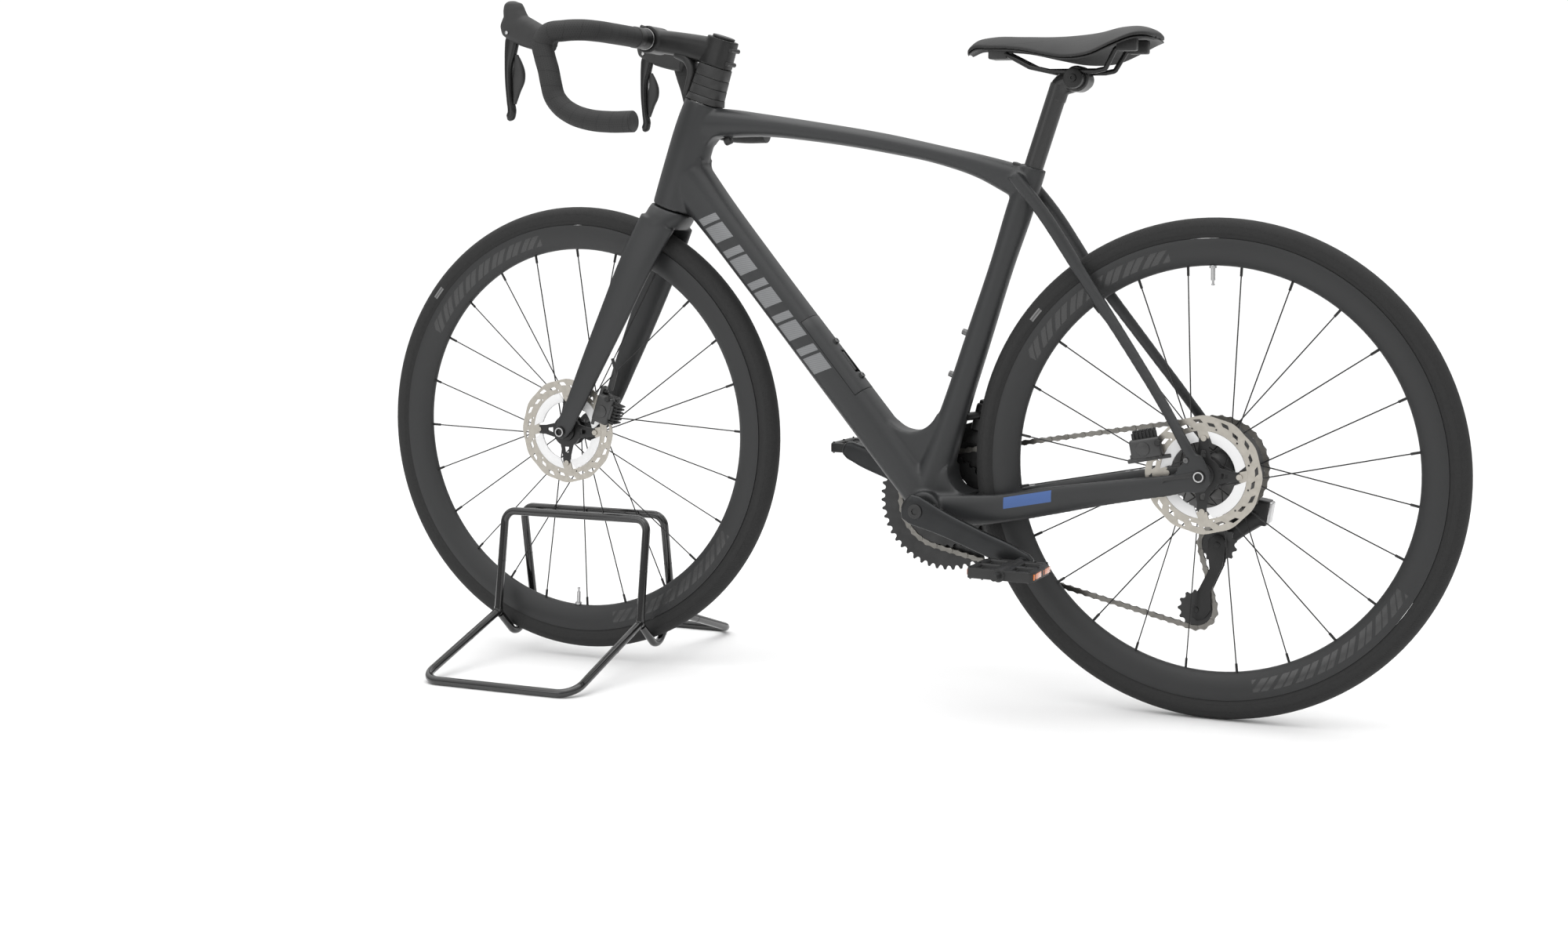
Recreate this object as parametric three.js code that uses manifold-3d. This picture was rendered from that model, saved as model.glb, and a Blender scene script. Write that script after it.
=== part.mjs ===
// A road bicycle with disc brakes, its front wheel cradled in a bent-tube floor stand.
//
// Millimetres, +Z up. The bicycle faces -X, its drive side is +Y and its left side is -Y.
// It is laid out level, with the rear axle at X 0 and the line under both tyres at Z 0, and is then
// pitched about the rear axle, because the stand's cradle lifts the front tyre off the floor.
// The finished group has its origin on the floor, at the middle of its own box.

import * as THREE from "three";
import { mergeVertices } from "three/addons/utils/BufferGeometryUtils.js";
import Module from "manifold-3d";

const wasm = await Module();
wasm.setup();

// ---------------------------------------------------------------- driving dimensions

const GAP = 0.3; // between pieces that touch
const WHEELBASE = 1001;
const TYRE_RADIUS = 343;
const TYRE_HALF_WIDTH = 16;
const RIM_OUTER_RADIUS = 315;
const RIM_INNER_RADIUS = 278;
const RIM_HALF_WIDTH = 14.6;
const SPOKES = 24;
const SPOKE_RADIUS = 1.1;

const HEAD_ANGLE = THREE.MathUtils.degToRad(71.9);
const FORK_OFFSET = 48;
const CROWN_HEIGHT = 376; // along the steering axis, from the front axle's level
const HEAD_TUBE_LENGTH = 167;
const STEERER_RADIUS = 14.3;
const SPACER_STACK = 56;
const STEM_HEIGHT = 42;
const STEM_REACH = 113;
const BAR_CLAMP_RADIUS = 15.9;
const BAR_RADIUS = 12;
const TAPE_RADIUS = 15.5;
const BAR_HALF_WIDTH = 205;

const BB_BEHIND = -408; // bottom bracket, from the rear axle
const BB_HEIGHT = 266;
const BB_SHELL_RADIUS = 24;
const BB_SHELL_HALF_WIDTH = 43;
const SPINDLE_RADIUS = 12;
const CRANK_LENGTH = 172.5;
const CRANK_TURN = THREE.MathUtils.degToRad(-20.5); // left arm, from +X towards +Z
const CRANK_OUTER_FACE = 73;
const CRANK_THICKNESS = 13;

const SEAT_ANGLE = THREE.MathUtils.degToRad(72.2);
const SEAT_COLLAR = [-266, 752]; // X and Z of the seat tube's mouth, on its axis
const SEATPOST_RADIUS = 13.6;
const SEATPOST_INSERT = 100;
const SADDLE_TOP = 932;

const FRONT_HUB_HALF = 50;
const REAR_HUB_HALF = 71;
const AXLE_RADIUS = 6;
const ROTOR_RADIUS = 80;
const ROTOR_THICKNESS = 1.8;
const FRONT_ROTOR_INSET = 10.5; // from the hub's end
const REAR_ROTOR_INSET = 15.3;

const CHAIN_PITCH = 12.7;
const RING_LARGE_TEETH = 50;
const RING_SMALL_TEETH = 34;
const COG_TEETH = 34;
const JOCKEY_TEETH = 13;
const CHAIN_HEIGHT = 8.4;
const CHAIN_WIDTH = 5.6;
const CHAIN_STEP = 16; // longest straight piece of its line round a wheel
const RING_LARGE_Y = 47;
const RING_SMALL_Y = 39.8;
const COG_Y = 25.5;

const STAND_TUBE_RADIUS = 6.2;
const STAND_HALF_LENGTH = 127.5; // hoop's legs, fore and aft of the stand's middle
const STAND_HOOP_HEIGHT = 226.5;
const STAND_HOOP_HALF_GAP = 25; // top bars, from the wheel's plane
const STAND_JOINT_HEIGHT = 71.5;
const STAND_JOINT_HALF_GAP = 49;
const STAND_FOOT_HALF_LENGTH = 130;
const STAND_FOOT_HALF_SPREAD = 241;
const STAND_SHIFT = 2.5; // stand's middle, behind the front axle
const CRADLE_LIFT = 16.25; // front tyre, above the floor

// ---------------------------------------------------------------- making solids

function solid(geometry) {
  const bare = geometry.clone();
  bare.deleteAttribute("normal");
  bare.deleteAttribute("uv");
  const merged = mergeVertices(bare, 1e-4);
  const corners = merged.index.array;
  const kept = [];
  for (let i = 0; i < corners.length; i += 3) {
    const [a, b, c] = [corners[i], corners[i + 1], corners[i + 2]];
    if (a !== b && b !== c && c !== a) kept.push(a, b, c);
  }
  const build = (triangles) =>
    new wasm.Manifold(
      new wasm.Mesh({
        numProp: 3,
        vertProperties: new Float32Array(merged.attributes.position.array),
        triVerts: new Uint32Array(triangles),
      }),
    );
  const made = build(kept);
  return made.volume() < 0 ? build(kept.reverse()) : made;
}

function geometryOf(body) {
  const mesh = body.getMesh();
  const positions = new Float32Array(mesh.numVert * 3);
  for (let i = 0; i < mesh.numVert; i++) {
    positions.set(mesh.vertProperties.subarray(i * mesh.numProp, i * mesh.numProp + 3), i * 3);
  }
  return new THREE.BufferGeometry()
    .setAttribute("position", new THREE.BufferAttribute(positions, 3))
    .setIndex(new THREE.BufferAttribute(mesh.triVerts, 1));
}

const join = (...bodies) => bodies.reduce((all, body) => all.add(body));
const cut = (body, ...tools) => tools.reduce((left, tool) => left.subtract(tool), body);

// A box between two corners.
function box(low, high) {
  const size = high.map((value, i) => value - low[i]);
  const middle = high.map((value, i) => (value + low[i]) / 2);
  return solid(new THREE.BoxGeometry(...size).translate(...middle));
}

// A cylinder along Y at X, Z, from y0 to y1.
function pin(radius, x, z, y0, y1, sides = 16) {
  const shape = new THREE.CylinderGeometry(radius, radius, y1 - y0, sides);
  return solid(shape.translate(x, (y0 + y1) / 2, z));
}

// A turned piece about a line along Y at X, Z: profile points are [radius, y].
function turned(profile, x, z, segments) {
  const points = profile.map(([radius, y]) => new THREE.Vector2(radius, y));
  if (profile[0][0] > 0) points.push(points[0].clone());
  return solid(new THREE.LatheGeometry(points, segments).translate(x, 0, z));
}

// A plate with an outline of [x, z] points, from y0 to y1, with optional holes.
function plate(outline, y0, y1, holes = []) {
  const shape = new THREE.Shape(outline.map(([x, z]) => new THREE.Vector2(x, z)));
  for (const hole of holes) {
    shape.holes.push(new THREE.Path(hole.map(([x, z]) => new THREE.Vector2(x, z))));
  }
  const options = { depth: y1 - y0, bevelEnabled: false };
  return solid(new THREE.ExtrudeGeometry(shape, options).rotateX(Math.PI / 2).translate(0, y1, 0));
}

const circle = (x, z, radius, sides, turn = 0) =>
  Array.from({ length: sides }, (_, i) => {
    const angle = turn + (i / sides) * 2 * Math.PI;
    return [x + radius * Math.cos(angle), z + radius * Math.sin(angle)];
  });

// A tube whose section changes along it. Each station is [x, y, z, depth, width]: half the section
// in the XZ plane, across the path, and half of it along Y. A loop has no ends. The sections stand
// square to the path, or to axis where it's given.
function shaped(stations, { sides = 14, square = 2, loop = false, axis = null } = {}) {
  const positions = [];
  const count = stations.length;
  stations.forEach(([x, y, z, depth, width], i) => {
    const before = stations[loop ? (i + count - 1) % count : Math.max(i - 1, 0)];
    const after = stations[loop ? (i + 1) % count : Math.min(i + 1, count - 1)];
    const along = axis
      ? new THREE.Vector2(...axis)
      : new THREE.Vector2(after[0] - before[0], after[2] - before[2]).normalize();
    for (let k = 0; k < sides; k++) {
      const angle = ((k + 0.5) / sides) * 2 * Math.PI;
      const power = 2 / square;
      const across = Math.sign(Math.cos(angle)) * Math.abs(Math.cos(angle)) ** power * depth;
      const side = Math.sign(Math.sin(angle)) * Math.abs(Math.sin(angle)) ** power * width;
      positions.push(x - along.y * across, y + side, z + along.x * across);
    }
  });
  const index = [];
  const rings = loop ? count : count - 1;
  for (let i = 0; i < rings; i++) {
    const next = (i + 1) % count;
    for (let k = 0; k < sides; k++) {
      const a = i * sides + k;
      const b = i * sides + ((k + 1) % sides);
      const c = next * sides + ((k + 1) % sides);
      const d = next * sides + k;
      index.push(a, b, c, a, c, d);
    }
  }
  if (!loop) {
    for (let k = 1; k < sides - 1; k++) {
      const last = (count - 1) * sides;
      index.push(0, k + 1, k, last, last + k, last + k + 1);
    }
  }
  const geometry = new THREE.BufferGeometry()
    .setAttribute("position", new THREE.Float32BufferAttribute(positions, 3))
    .setIndex(index);
  return solid(geometry);
}

// Straight runs between corners, with a round bend at each inner corner. Its own parameter steps
// from point to point, so that no ring of a swept tube is spent on a straight run.
class BentPath extends THREE.Curve {
  constructor(corners, bend, stepsPerBend = 4) {
    super();
    const points = corners.map((corner) => new THREE.Vector3(...corner));
    this.points = [points[0]];
    for (let i = 1; i < points.length - 1; i++) {
      const to = points[i - 1].clone().sub(points[i]).normalize();
      const from = points[i + 1].clone().sub(points[i]).normalize();
      const half = to.angleTo(from) / 2;
      const middle = to.clone().add(from).setLength(bend / Math.sin(half)).add(points[i]);
      const start = points[i].clone().addScaledVector(to, bend / Math.tan(half)).sub(middle);
      const axis = to.clone().cross(from).normalize();
      const turn = -(Math.PI - 2 * half);
      for (let k = 0; k <= stepsPerBend; k++) {
        const point = start.clone().applyAxisAngle(axis, (turn * k) / stepsPerBend);
        this.points.push(point.add(middle));
      }
    }
    this.points.push(points[points.length - 1]);
  }
  get steps() {
    return this.points.length - 1;
  }
  getUtoTmapping(u) {
    return u;
  }
  getPoint(t, target = new THREE.Vector3()) {
    const place = THREE.MathUtils.clamp(t, 0, 1) * this.steps;
    const from = Math.min(Math.floor(place), this.steps - 1);
    return target.lerpVectors(this.points[from], this.points[from + 1], place - from);
  }
}

// A round tube along a path. Its flats are the stated radius from the middle; with flatDown, one
// flat faces straight down where the path is level halfway along.
function roundTube(path, steps, radius, { sides = 8, flatDown = false } = {}) {
  let turn = Math.PI / sides;
  if (flatDown) {
    const frames = path.computeFrenetFrames(steps, false);
    const middle = Math.floor(steps / 2);
    turn += Math.atan2(-frames.binormals[middle].z, -frames.normals[middle].z);
  }
  const corner = radius / Math.cos(Math.PI / sides);
  const outline = circle(0, 0, corner, sides, turn).map(([x, y]) => new THREE.Vector2(x, y));
  const options = { steps, extrudePath: path, bevelEnabled: false };
  return solid(new THREE.ExtrudeGeometry(new THREE.Shape(outline), options));
}

// ---------------------------------------------------------------- placing meshes

const FINISHES = {
  carbon: { color: 0x2e2f32, roughness: 0.5, metalness: 0 },
  tyre: { color: 0x222222, roughness: 0.85, metalness: 0 },
  rubber: { color: 0x2b2b2c, roughness: 0.8, metalness: 0 },
  blackMetal: { color: 0x1d1d1f, roughness: 0.35, metalness: 0.6 },
  greyMetal: { color: 0x4b4c50, roughness: 0.4, metalness: 0.7 },
  steel: { color: 0xb9b6ae, roughness: 0.3, metalness: 1 },
  chain: { color: 0x85817a, roughness: 0.35, metalness: 1 },
  plastic: { color: 0x19191a, roughness: 0.5, metalness: 0 },
  stand: { color: 0x101012, roughness: 0.15, metalness: 0.1 },
};

const level = new THREE.Group(); // the level bicycle
const floor = new THREE.Group(); // the stand

function place(group, name, body, finish) {
  const mesh = new THREE.Mesh(
    geometryOf(body),
    new THREE.MeshStandardMaterial(FINISHES[finish]),
  );
  mesh.name = name;
  group.add(mesh);
  return mesh;
}

// ---------------------------------------------------------------- steering axis

// The axis leans back by the head angle and passes FORK_OFFSET behind the front axle. A place on it
// is [forward, y, up]: forward of the axis, across, and along it from the front axle's level.
const UP = [Math.cos(HEAD_ANGLE), Math.sin(HEAD_ANGLE)];
const FORWARD = [-UP[1], UP[0]];
const AXIS_FOOT = [-WHEELBASE - FORWARD[0] * FORK_OFFSET, TYRE_RADIUS - FORWARD[1] * FORK_OFFSET];
const steer = (forward, y, up) => [
  AXIS_FOOT[0] + UP[0] * up + FORWARD[0] * forward,
  y,
  AXIS_FOOT[1] + UP[1] * up + FORWARD[1] * forward,
];
const steerStation = ([forward, y, up, depth, width]) => [...steer(forward, y, up), depth, width];

// A ring or cylinder about the steering axis, from one height to another.
function steererRing(radius, from, to, sides = 20) {
  const shape = new THREE.CylinderGeometry(radius, radius, to - from, sides);
  shape.rotateX(Math.PI / 2).rotateY(Math.PI / 2 - HEAD_ANGLE);
  return solid(shape.translate(...steer(0, 0, (from + to) / 2)));
}

const HEAD_BOTTOM = CROWN_HEIGHT + GAP;
const HEAD_TOP = HEAD_BOTTOM + HEAD_TUBE_LENGTH;
const SPACER_BOTTOM = HEAD_TOP + GAP;
const STEM_BOTTOM = SPACER_BOTTOM + SPACER_STACK + GAP;
const STEM_TOP = STEM_BOTTOM + STEM_HEIGHT;
const BEARING_HEIGHT = 7;
const BEARING_OUTER_RADIUS = 25.5;

function headTube(grow = 0) {
  const stations = [
    [0, 0, HEAD_BOTTOM - grow, 33.5 + grow, 30 + grow],
    [1, 0, HEAD_BOTTOM + 0.4 * HEAD_TUBE_LENGTH, 33.5 + grow, 28.5 + grow],
    [1, 0, HEAD_BOTTOM + 0.8 * HEAD_TUBE_LENGTH, 32.5 + grow, 28 + grow],
    [0, 0, HEAD_TOP + grow, 30 + grow, 28 + grow],
  ];
  return shaped(stations.map(steerStation), { sides: 16, axis: UP });
}

place(
  level,
  "head_tube",
  cut(
    headTube(),
    steererRing(STEERER_RADIUS + 5, HEAD_BOTTOM - 5, HEAD_TOP + 5),
    steererRing(BEARING_OUTER_RADIUS + GAP, HEAD_BOTTOM - 5, HEAD_BOTTOM + BEARING_HEIGHT + 1),
    steererRing(BEARING_OUTER_RADIUS + GAP, HEAD_TOP - BEARING_HEIGHT - 1, HEAD_TOP + 5),
  ),
  "carbon",
);

for (const [name, bottom] of [
  ["headset_bearing_lower", HEAD_BOTTOM + 0.5],
  ["headset_bearing_upper", HEAD_TOP - BEARING_HEIGHT - 0.5],
]) {
  const race = cut(
    steererRing(BEARING_OUTER_RADIUS, bottom, bottom + BEARING_HEIGHT),
    steererRing(STEERER_RADIUS + GAP, bottom - 1, bottom + BEARING_HEIGHT + 1),
  );
  place(level, name, race, "steel");
}

// ---------------------------------------------------------------- main tubes

const BB = [BB_BEHIND, BB_HEIGHT];
const SEAT_UP = [Math.cos(SEAT_ANGLE), Math.sin(SEAT_ANGLE)];
// A place on the seat tube's axis, a distance below the collar.
const seatAt = (below) => [
  SEAT_COLLAR[0] - SEAT_UP[0] * below,
  SEAT_COLLAR[1] - SEAT_UP[1] * below,
];

// The seat tube runs into the bottom bracket shell, which it widens to meet.
const SEAT_TUBE_LENGTH = (SEAT_COLLAR[1] - BB_HEIGHT) / SEAT_UP[1];
function seatTube(grow = 0) {
  const sections = [
    [0, 18.5, 18],
    [0.12, 19.5, 18],
    [0.27, 17.5, 17.5],
    [0.5, 19, 18.5],
    [0.7, 20.5, 21],
    [0.85, 24, 27],
    [0.96, 30, 34],
  ];
  const stations = sections.map(([share, depth, width], i) => {
    const beyond = i === 0 ? -grow : i === sections.length - 1 ? grow : 0;
    const [x, z] = seatAt(share * SEAT_TUBE_LENGTH + beyond);
    return [x, 0, z, depth + grow, width + grow];
  });
  const shell = pin(
    BB_SHELL_RADIUS + grow,
    ...BB,
    -BB_SHELL_HALF_WIDTH - grow,
    BB_SHELL_HALF_WIDTH + grow,
    20,
  );
  return join(shaped(stations, { sides: 16 }), shell);
}

// A cylinder along the seat axis between two distances below the collar.
function seatPin(radius, below0, below1, sides = 16) {
  const shape = new THREE.CylinderGeometry(radius, radius, below1 - below0, sides);
  shape.rotateX(Math.PI / 2).rotateY(Math.PI / 2 - SEAT_ANGLE);
  const [x, z] = seatAt((below0 + below1) / 2);
  return solid(shape.translate(x, 0, z));
}

const POST_TRAVEL_DOWN = 40;
// Bottle bosses stand proud of the seat tube's front, facing forward and up.
const BOTTLE_SPACING = 64;
const BOTTLE_BOSS_BELOW = 254;
const BOTTLE_BOSS_FRONT = 22.5; // face, from the seat axis
const seatBoss = (below) => {
  const length = 8;
  const shape = new THREE.CylinderGeometry(4, 4, length, 10);
  shape.rotateX(Math.PI / 2).rotateY(-SEAT_ANGLE);
  const [x, z] = seatAt(below);
  const reach = BOTTLE_BOSS_FRONT - length / 2;
  return solid(shape.translate(x - SEAT_UP[1] * reach, 0, z + SEAT_UP[0] * reach));
};

place(
  level,
  "seat_tube",
  cut(
    join(seatTube(), seatBoss(BOTTLE_BOSS_BELOW), seatBoss(BOTTLE_BOSS_BELOW + BOTTLE_SPACING)),
    seatPin(SEATPOST_RADIUS + GAP, -10, SEATPOST_INSERT + POST_TRAVEL_DOWN + 5, 20),
    pin(SPINDLE_RADIUS + GAP, ...BB, -BB_SHELL_HALF_WIDTH - 5, BB_SHELL_HALF_WIDTH + 5),
  ),
  "carbon",
);

// The down tube's axis runs from the bottom bracket to the middle of the head tube.
const DOWN_TOP = steer(0, 0, HEAD_BOTTOM + 0.35 * HEAD_TUBE_LENGTH);
const DOWN_LENGTH = Math.hypot(DOWN_TOP[0] - BB[0], DOWN_TOP[2] - BB[1]);
const DOWN_DIR = [(DOWN_TOP[0] - BB[0]) / DOWN_LENGTH, (DOWN_TOP[2] - BB[1]) / DOWN_LENGTH];
const DOWN_OUT = [DOWN_DIR[1], -DOWN_DIR[0]]; // towards the main triangle
const DOWN_DEPTH = 30;
const downAt = (along, out, y = 0) => [
  BB[0] + DOWN_DIR[0] * along + DOWN_OUT[0] * out,
  y,
  BB[1] + DOWN_DIR[1] * along + DOWN_OUT[1] * out,
];
function downTube(grow = 0) {
  const sections = [
    [0.02, 28, 36],
    [0.15, 29.5, 32],
    [0.35, DOWN_DEPTH, 29],
    [0.7, DOWN_DEPTH, 28],
    [0.88, 32, 28],
    [0.98, 36, 27],
  ];
  const stations = sections.map(([share, depth, width]) => [
    ...downAt(share * DOWN_LENGTH, 0),
    depth + grow,
    width + grow,
  ]);
  return shaped(stations, { sides: 16 });
}

// A box lined up with the down tube: along it, across it and outwards.
function downBox(along0, along1, halfWidth, out0, out1) {
  const shape = new THREE.BoxGeometry(along1 - along0, 2 * halfWidth, out1 - out0);
  shape.rotateY(-Math.atan2(DOWN_DIR[1], DOWN_DIR[0]));
  return solid(shape.translate(...downAt((along0 + along1) / 2, (out0 + out1) / 2)));
}

// The storage door is the top of the tube itself, cut free, over a pocket in the tube.
const DOOR_FROM = 192;
const DOOR_TO = 328;
const DOOR_SEAM = 14; // above the tube's axis
const POCKET_DEPTH = 26;
const LATCH_LENGTH = 34;
const LATCH_AT = DOOR_FROM + 34;
const downSkin = cut(downTube(), headTube(GAP), seatTube(GAP));
const latchRecess = downBox(
  LATCH_AT - 4,
  LATCH_AT + LATCH_LENGTH + 2,
  7,
  DOWN_DEPTH - 5,
  DOWN_DEPTH + 10,
);

place(
  level,
  "down_tube",
  cut(
    downSkin,
    downBox(DOOR_FROM, DOOR_TO, 40, DOOR_SEAM, DOWN_DEPTH + 20),
    downBox(DOOR_FROM + 12, DOOR_TO - 12, 17, DOOR_SEAM - POCKET_DEPTH, DOOR_SEAM + 5),
  ),
  "carbon",
);

const doorBoss = (along) => {
  const shape = new THREE.CylinderGeometry(4, 4, 8, 10);
  shape.rotateX(Math.PI / 2).rotateY(Math.atan2(DOWN_OUT[0], DOWN_OUT[1]));
  return solid(shape.translate(...downAt(along, DOWN_DEPTH - 1)));
};
const DOOR_BOSSES = [DOOR_FROM + 22, DOOR_FROM + 22 + BOTTLE_SPACING];
place(
  level,
  "storage_door",
  cut(
    join(
      downSkin.intersect(
        downBox(DOOR_FROM + GAP, DOOR_TO - GAP, 40, DOOR_SEAM + GAP, DOWN_DEPTH + 20),
      ),
      ...DOOR_BOSSES.map(doorBoss),
    ),
    latchRecess,
  ),
  "carbon",
);
place(
  level,
  "door_latch",
  downBox(LATCH_AT, LATCH_AT + LATCH_LENGTH, 5, DOWN_DEPTH - 5 + GAP, DOWN_DEPTH - 1),
  "plastic",
);

// The top tube bows gently and swells into the seat cluster.
function topTube(grow = 0) {
  const start = steer(0, 0, HEAD_TOP - 32);
  const stations = [
    [start[0], 0, start[2], 24, 24],
    [-735, 0, 813, 20.5, 23],
    [-690, 0, 810.5, 17, 22],
    [-600, 0, 800.5, 14.5, 21],
    [-491, 0, 784.5, 13.8, 20],
    [-400, 0, 766.5, 13.6, 19],
    [-341, 0, 751, 17, 18.5],
    [-300, 0, 736, 22, 18],
    [-278, 0, 727, 24, 17],
  ];
  const grown = stations.map(([x, y, z, depth, width]) => [x, y, z, depth + grow, width + grow]);
  return shaped(grown, { sides: 14 });
}
place(level, "top_tube", cut(topTube(), headTube(GAP), seatTube(GAP)), "carbon");

// The wedge cover sits on top of the seat cluster, ahead of the post.
const WEDGE_LENGTH = 16;
const wedgeMiddle = seatAt(-4);
place(
  level,
  "seat_wedge",
  cut(
    box(
      [wedgeMiddle[0] - 20 - WEDGE_LENGTH, -8, wedgeMiddle[1] + 2],
      [wedgeMiddle[0] - 20, 8, wedgeMiddle[1] + 6],
    ),
    topTube(GAP),
  ),
  "plastic",
);

// ---------------------------------------------------------------- rear stays

const DROPOUT_THICKNESS = 8;
const DROPOUT_Y = REAR_HUB_HALF + GAP + DROPOUT_THICKNESS / 2;
function rearStays(side) {
  const seatstay = shaped(
    [
      [-288, 26, 741, 9, 7],
      [-244, 26, 690, 9.5, 6.5],
      [-188, 27.5, 611, 9.2, 5.5],
      [-110, 44, 508, 8, 5.5],
      [-50, 63, 427, 7.5, 5.5],
      [-20, DROPOUT_Y, 383, 8, 4],
      [-6, DROPOUT_Y, 360, 9, 4],
    ].map(([x, y, z, depth, width]) => [x, side * y, z, depth, width]),
    { sides: 10, square: 2.4 },
  );
  const chainstay = shaped(
    [
      [-384, 27, 262, 24, 9],
      [-345, 28, 266, 22.5, 8],
      [-300, 31, 272, 21, 8],
      [-221, 42, 290, 20, 8],
      [-154, 54, 305, 17.5, 7],
      [-83, 66, 320, 15.5, 5.5],
      [-30, DROPOUT_Y, 331, 14, 4],
      [-4, DROPOUT_Y, 338, 12, 4],
    ].map(([x, y, z, depth, width]) => [x, side * y, z, depth, width]),
    { sides: 12, square: 2.6 },
  );
  const near = side * DROPOUT_Y - DROPOUT_THICKNESS / 2;
  const dropout = plate(
    [
      [-44, 318],
      [6, 322],
      [15, 334],
      [15, 348],
      [2, 372],
      [-12, 372],
      [-30, 352],
    ],
    near,
    near + DROPOUT_THICKNESS,
  );
  const axleHole = pin(AXLE_RADIUS + GAP, 0, TYRE_RADIUS, near - 5, near + DROPOUT_THICKNESS + 5);
  return cut(join(seatstay, chainstay, dropout), axleHole, seatTube(GAP), topTube(GAP));
}
place(level, "rear_stays_left", rearStays(-1), "carbon");
place(level, "rear_stays_right", rearStays(1), "carbon");

// ---------------------------------------------------------------- seatpost and saddle

const CLAMP = [-203, 873]; // X and Z of the saddle clamp's axis
const CLAMP_RADIUS = 14;
const POST_HEAD_HALF_WIDTH = 13;
const postTop = seatAt(-(CLAMP[1] - SEAT_COLLAR[1]) / SEAT_UP[1] + 8);
place(
  level,
  "seatpost",
  cut(
    join(
      seatPin(SEATPOST_RADIUS, -(postTop[1] - SEAT_COLLAR[1]) / SEAT_UP[1], SEATPOST_INSERT, 20),
      shaped(
        [
          [postTop[0] - 6, 0, postTop[1] - 22, SEATPOST_RADIUS, SEATPOST_RADIUS],
          [postTop[0] + 1, 0, postTop[1] - 3, 15, POST_HEAD_HALF_WIDTH],
          [CLAMP[0] - 10, 0, CLAMP[1] - 2, 17, POST_HEAD_HALF_WIDTH],
          [CLAMP[0] + 10, 0, CLAMP[1] + 1, 14, POST_HEAD_HALF_WIDTH],
        ],
        { sides: 14 },
      ),
      pin(CLAMP_RADIUS + 4, ...CLAMP, -POST_HEAD_HALF_WIDTH, POST_HEAD_HALF_WIDTH, 20),
    ),
    pin(4 + GAP, ...CLAMP, -20, 20, 12),
  ),
  "carbon",
);

// Two round cheeks on one bolt grip the rails from outside and above.
const RAIL_RADIUS = 3.5;
const RAIL_HALF_GAP = 22;
const RAIL_HEIGHT = CLAMP[1] + 9.5;
const RAIL_SEAT = RAIL_RADIUS + 0.9; // half the width of the clamp's grooves
const CHEEK_WIDTH = 15.5;
const cheek = (side) => {
  const inner = POST_HEAD_HALF_WIDTH + GAP;
  const near = side > 0 ? inner : -inner - CHEEK_WIDTH;
  const saddleCut = box(
    [CLAMP[0] - 30, side * RAIL_HALF_GAP - RAIL_SEAT, RAIL_HEIGHT - RAIL_SEAT],
    [CLAMP[0] + 30, side * RAIL_HALF_GAP + RAIL_SEAT, RAIL_HEIGHT + RAIL_SEAT],
  );
  return cut(pin(CLAMP_RADIUS, ...CLAMP, near, near + CHEEK_WIDTH, 20), saddleCut);
};
place(
  level,
  "saddle_clamp",
  join(cheek(-1), cheek(1), pin(4, ...CLAMP, -30, 30, 12)),
  "blackMetal",
);

// One steel wire makes both rails: it loops in the shell's nose and ends in its tail.
const railHalf = (beyond) => [
  [-122 + beyond, RAIL_HALF_GAP + 8, 916],
  [-143, RAIL_HALF_GAP + 5, 912],
  [-158, RAIL_HALF_GAP + 1, 885],
  [-171, RAIL_HALF_GAP, RAIL_HEIGHT],
  [-238, RAIL_HALF_GAP, RAIL_HEIGHT],
  [-268, RAIL_HALF_GAP - 2, 889],
  [-306, 12, 908],
  [-322, 8, 909],
];
function railWire(radius, beyond = 0) {
  const half = railHalf(beyond);
  const other = half.map(([x, y, z]) => [x, -y, z]).reverse();
  const path = new BentPath([...half, ...other], 6, 2);
  return roundTube(path, path.steps, radius, { sides: 6 });
}
place(level, "saddle_rails", railWire(RAIL_RADIUS), "blackMetal");

// The saddle's plan and its edge line, from nose to tail.
const SADDLE_STATIONS = [
  [-363, 12, -14, 4],
  [-350, 19, -4, 8],
  [-330, 22, 0, 13],
  [-283, 27, 0, 16],
  [-240, 38, -1, 24],
  [-205, 58, 0, 30],
  [-165, 72, 4, 30],
  [-137, 74, 10, 24],
  [-112, 66, 11, 14],
  [-97, 48, 7, 7],
  [-91, 30, 3, 4],
];
// A curved sheet under the saddle's top line: [x, half width, top above SADDLE_TOP, edge drop].
function saddleLayer(depth, thickness, inset, from, to) {
  const columns = 7;
  const positions = [];
  const stations = SADDLE_STATIONS.slice(from, to);
  for (const [x, half, rise, drop] of stations) {
    const ring = [];
    for (let k = 0; k < columns; k++) {
      const y = ((k / (columns - 1)) * 2 - 1) * (half - inset);
      ring.push([x, y, SADDLE_TOP + rise - depth - drop * Math.abs(y / half) ** 2.4]);
    }
    const under = ring.map(([px, py, pz]) => [px, py, pz - thickness]).reverse();
    for (const point of [...ring, ...under]) positions.push(...point);
  }
  const sides = 2 * columns;
  const index = [];
  for (let i = 0; i < stations.length - 1; i++) {
    for (let k = 0; k < sides; k++) {
      const a = i * sides + k;
      const b = i * sides + ((k + 1) % sides);
      index.push(a, b, b + sides, a, b + sides, a + sides);
    }
  }
  const last = (stations.length - 1) * sides;
  for (let k = 0; k < columns - 1; k++) {
    const [a, b, c, d] = [k, k + 1, sides - 2 - k, sides - 1 - k];
    index.push(a, c, b, a, d, c, last + a, last + b, last + c, last + a, last + c, last + d);
  }
  const geometry = new THREE.BufferGeometry()
    .setAttribute("position", new THREE.Float32BufferAttribute(positions, 3))
    .setIndex(index);
  return solid(geometry);
}
const COVER_THICKNESS = 7;
const SHELL_THICKNESS = 3;
place(
  level,
  "saddle_cover",
  saddleLayer(0, COVER_THICKNESS, 0, 0, SADDLE_STATIONS.length),
  "rubber",
);
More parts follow.
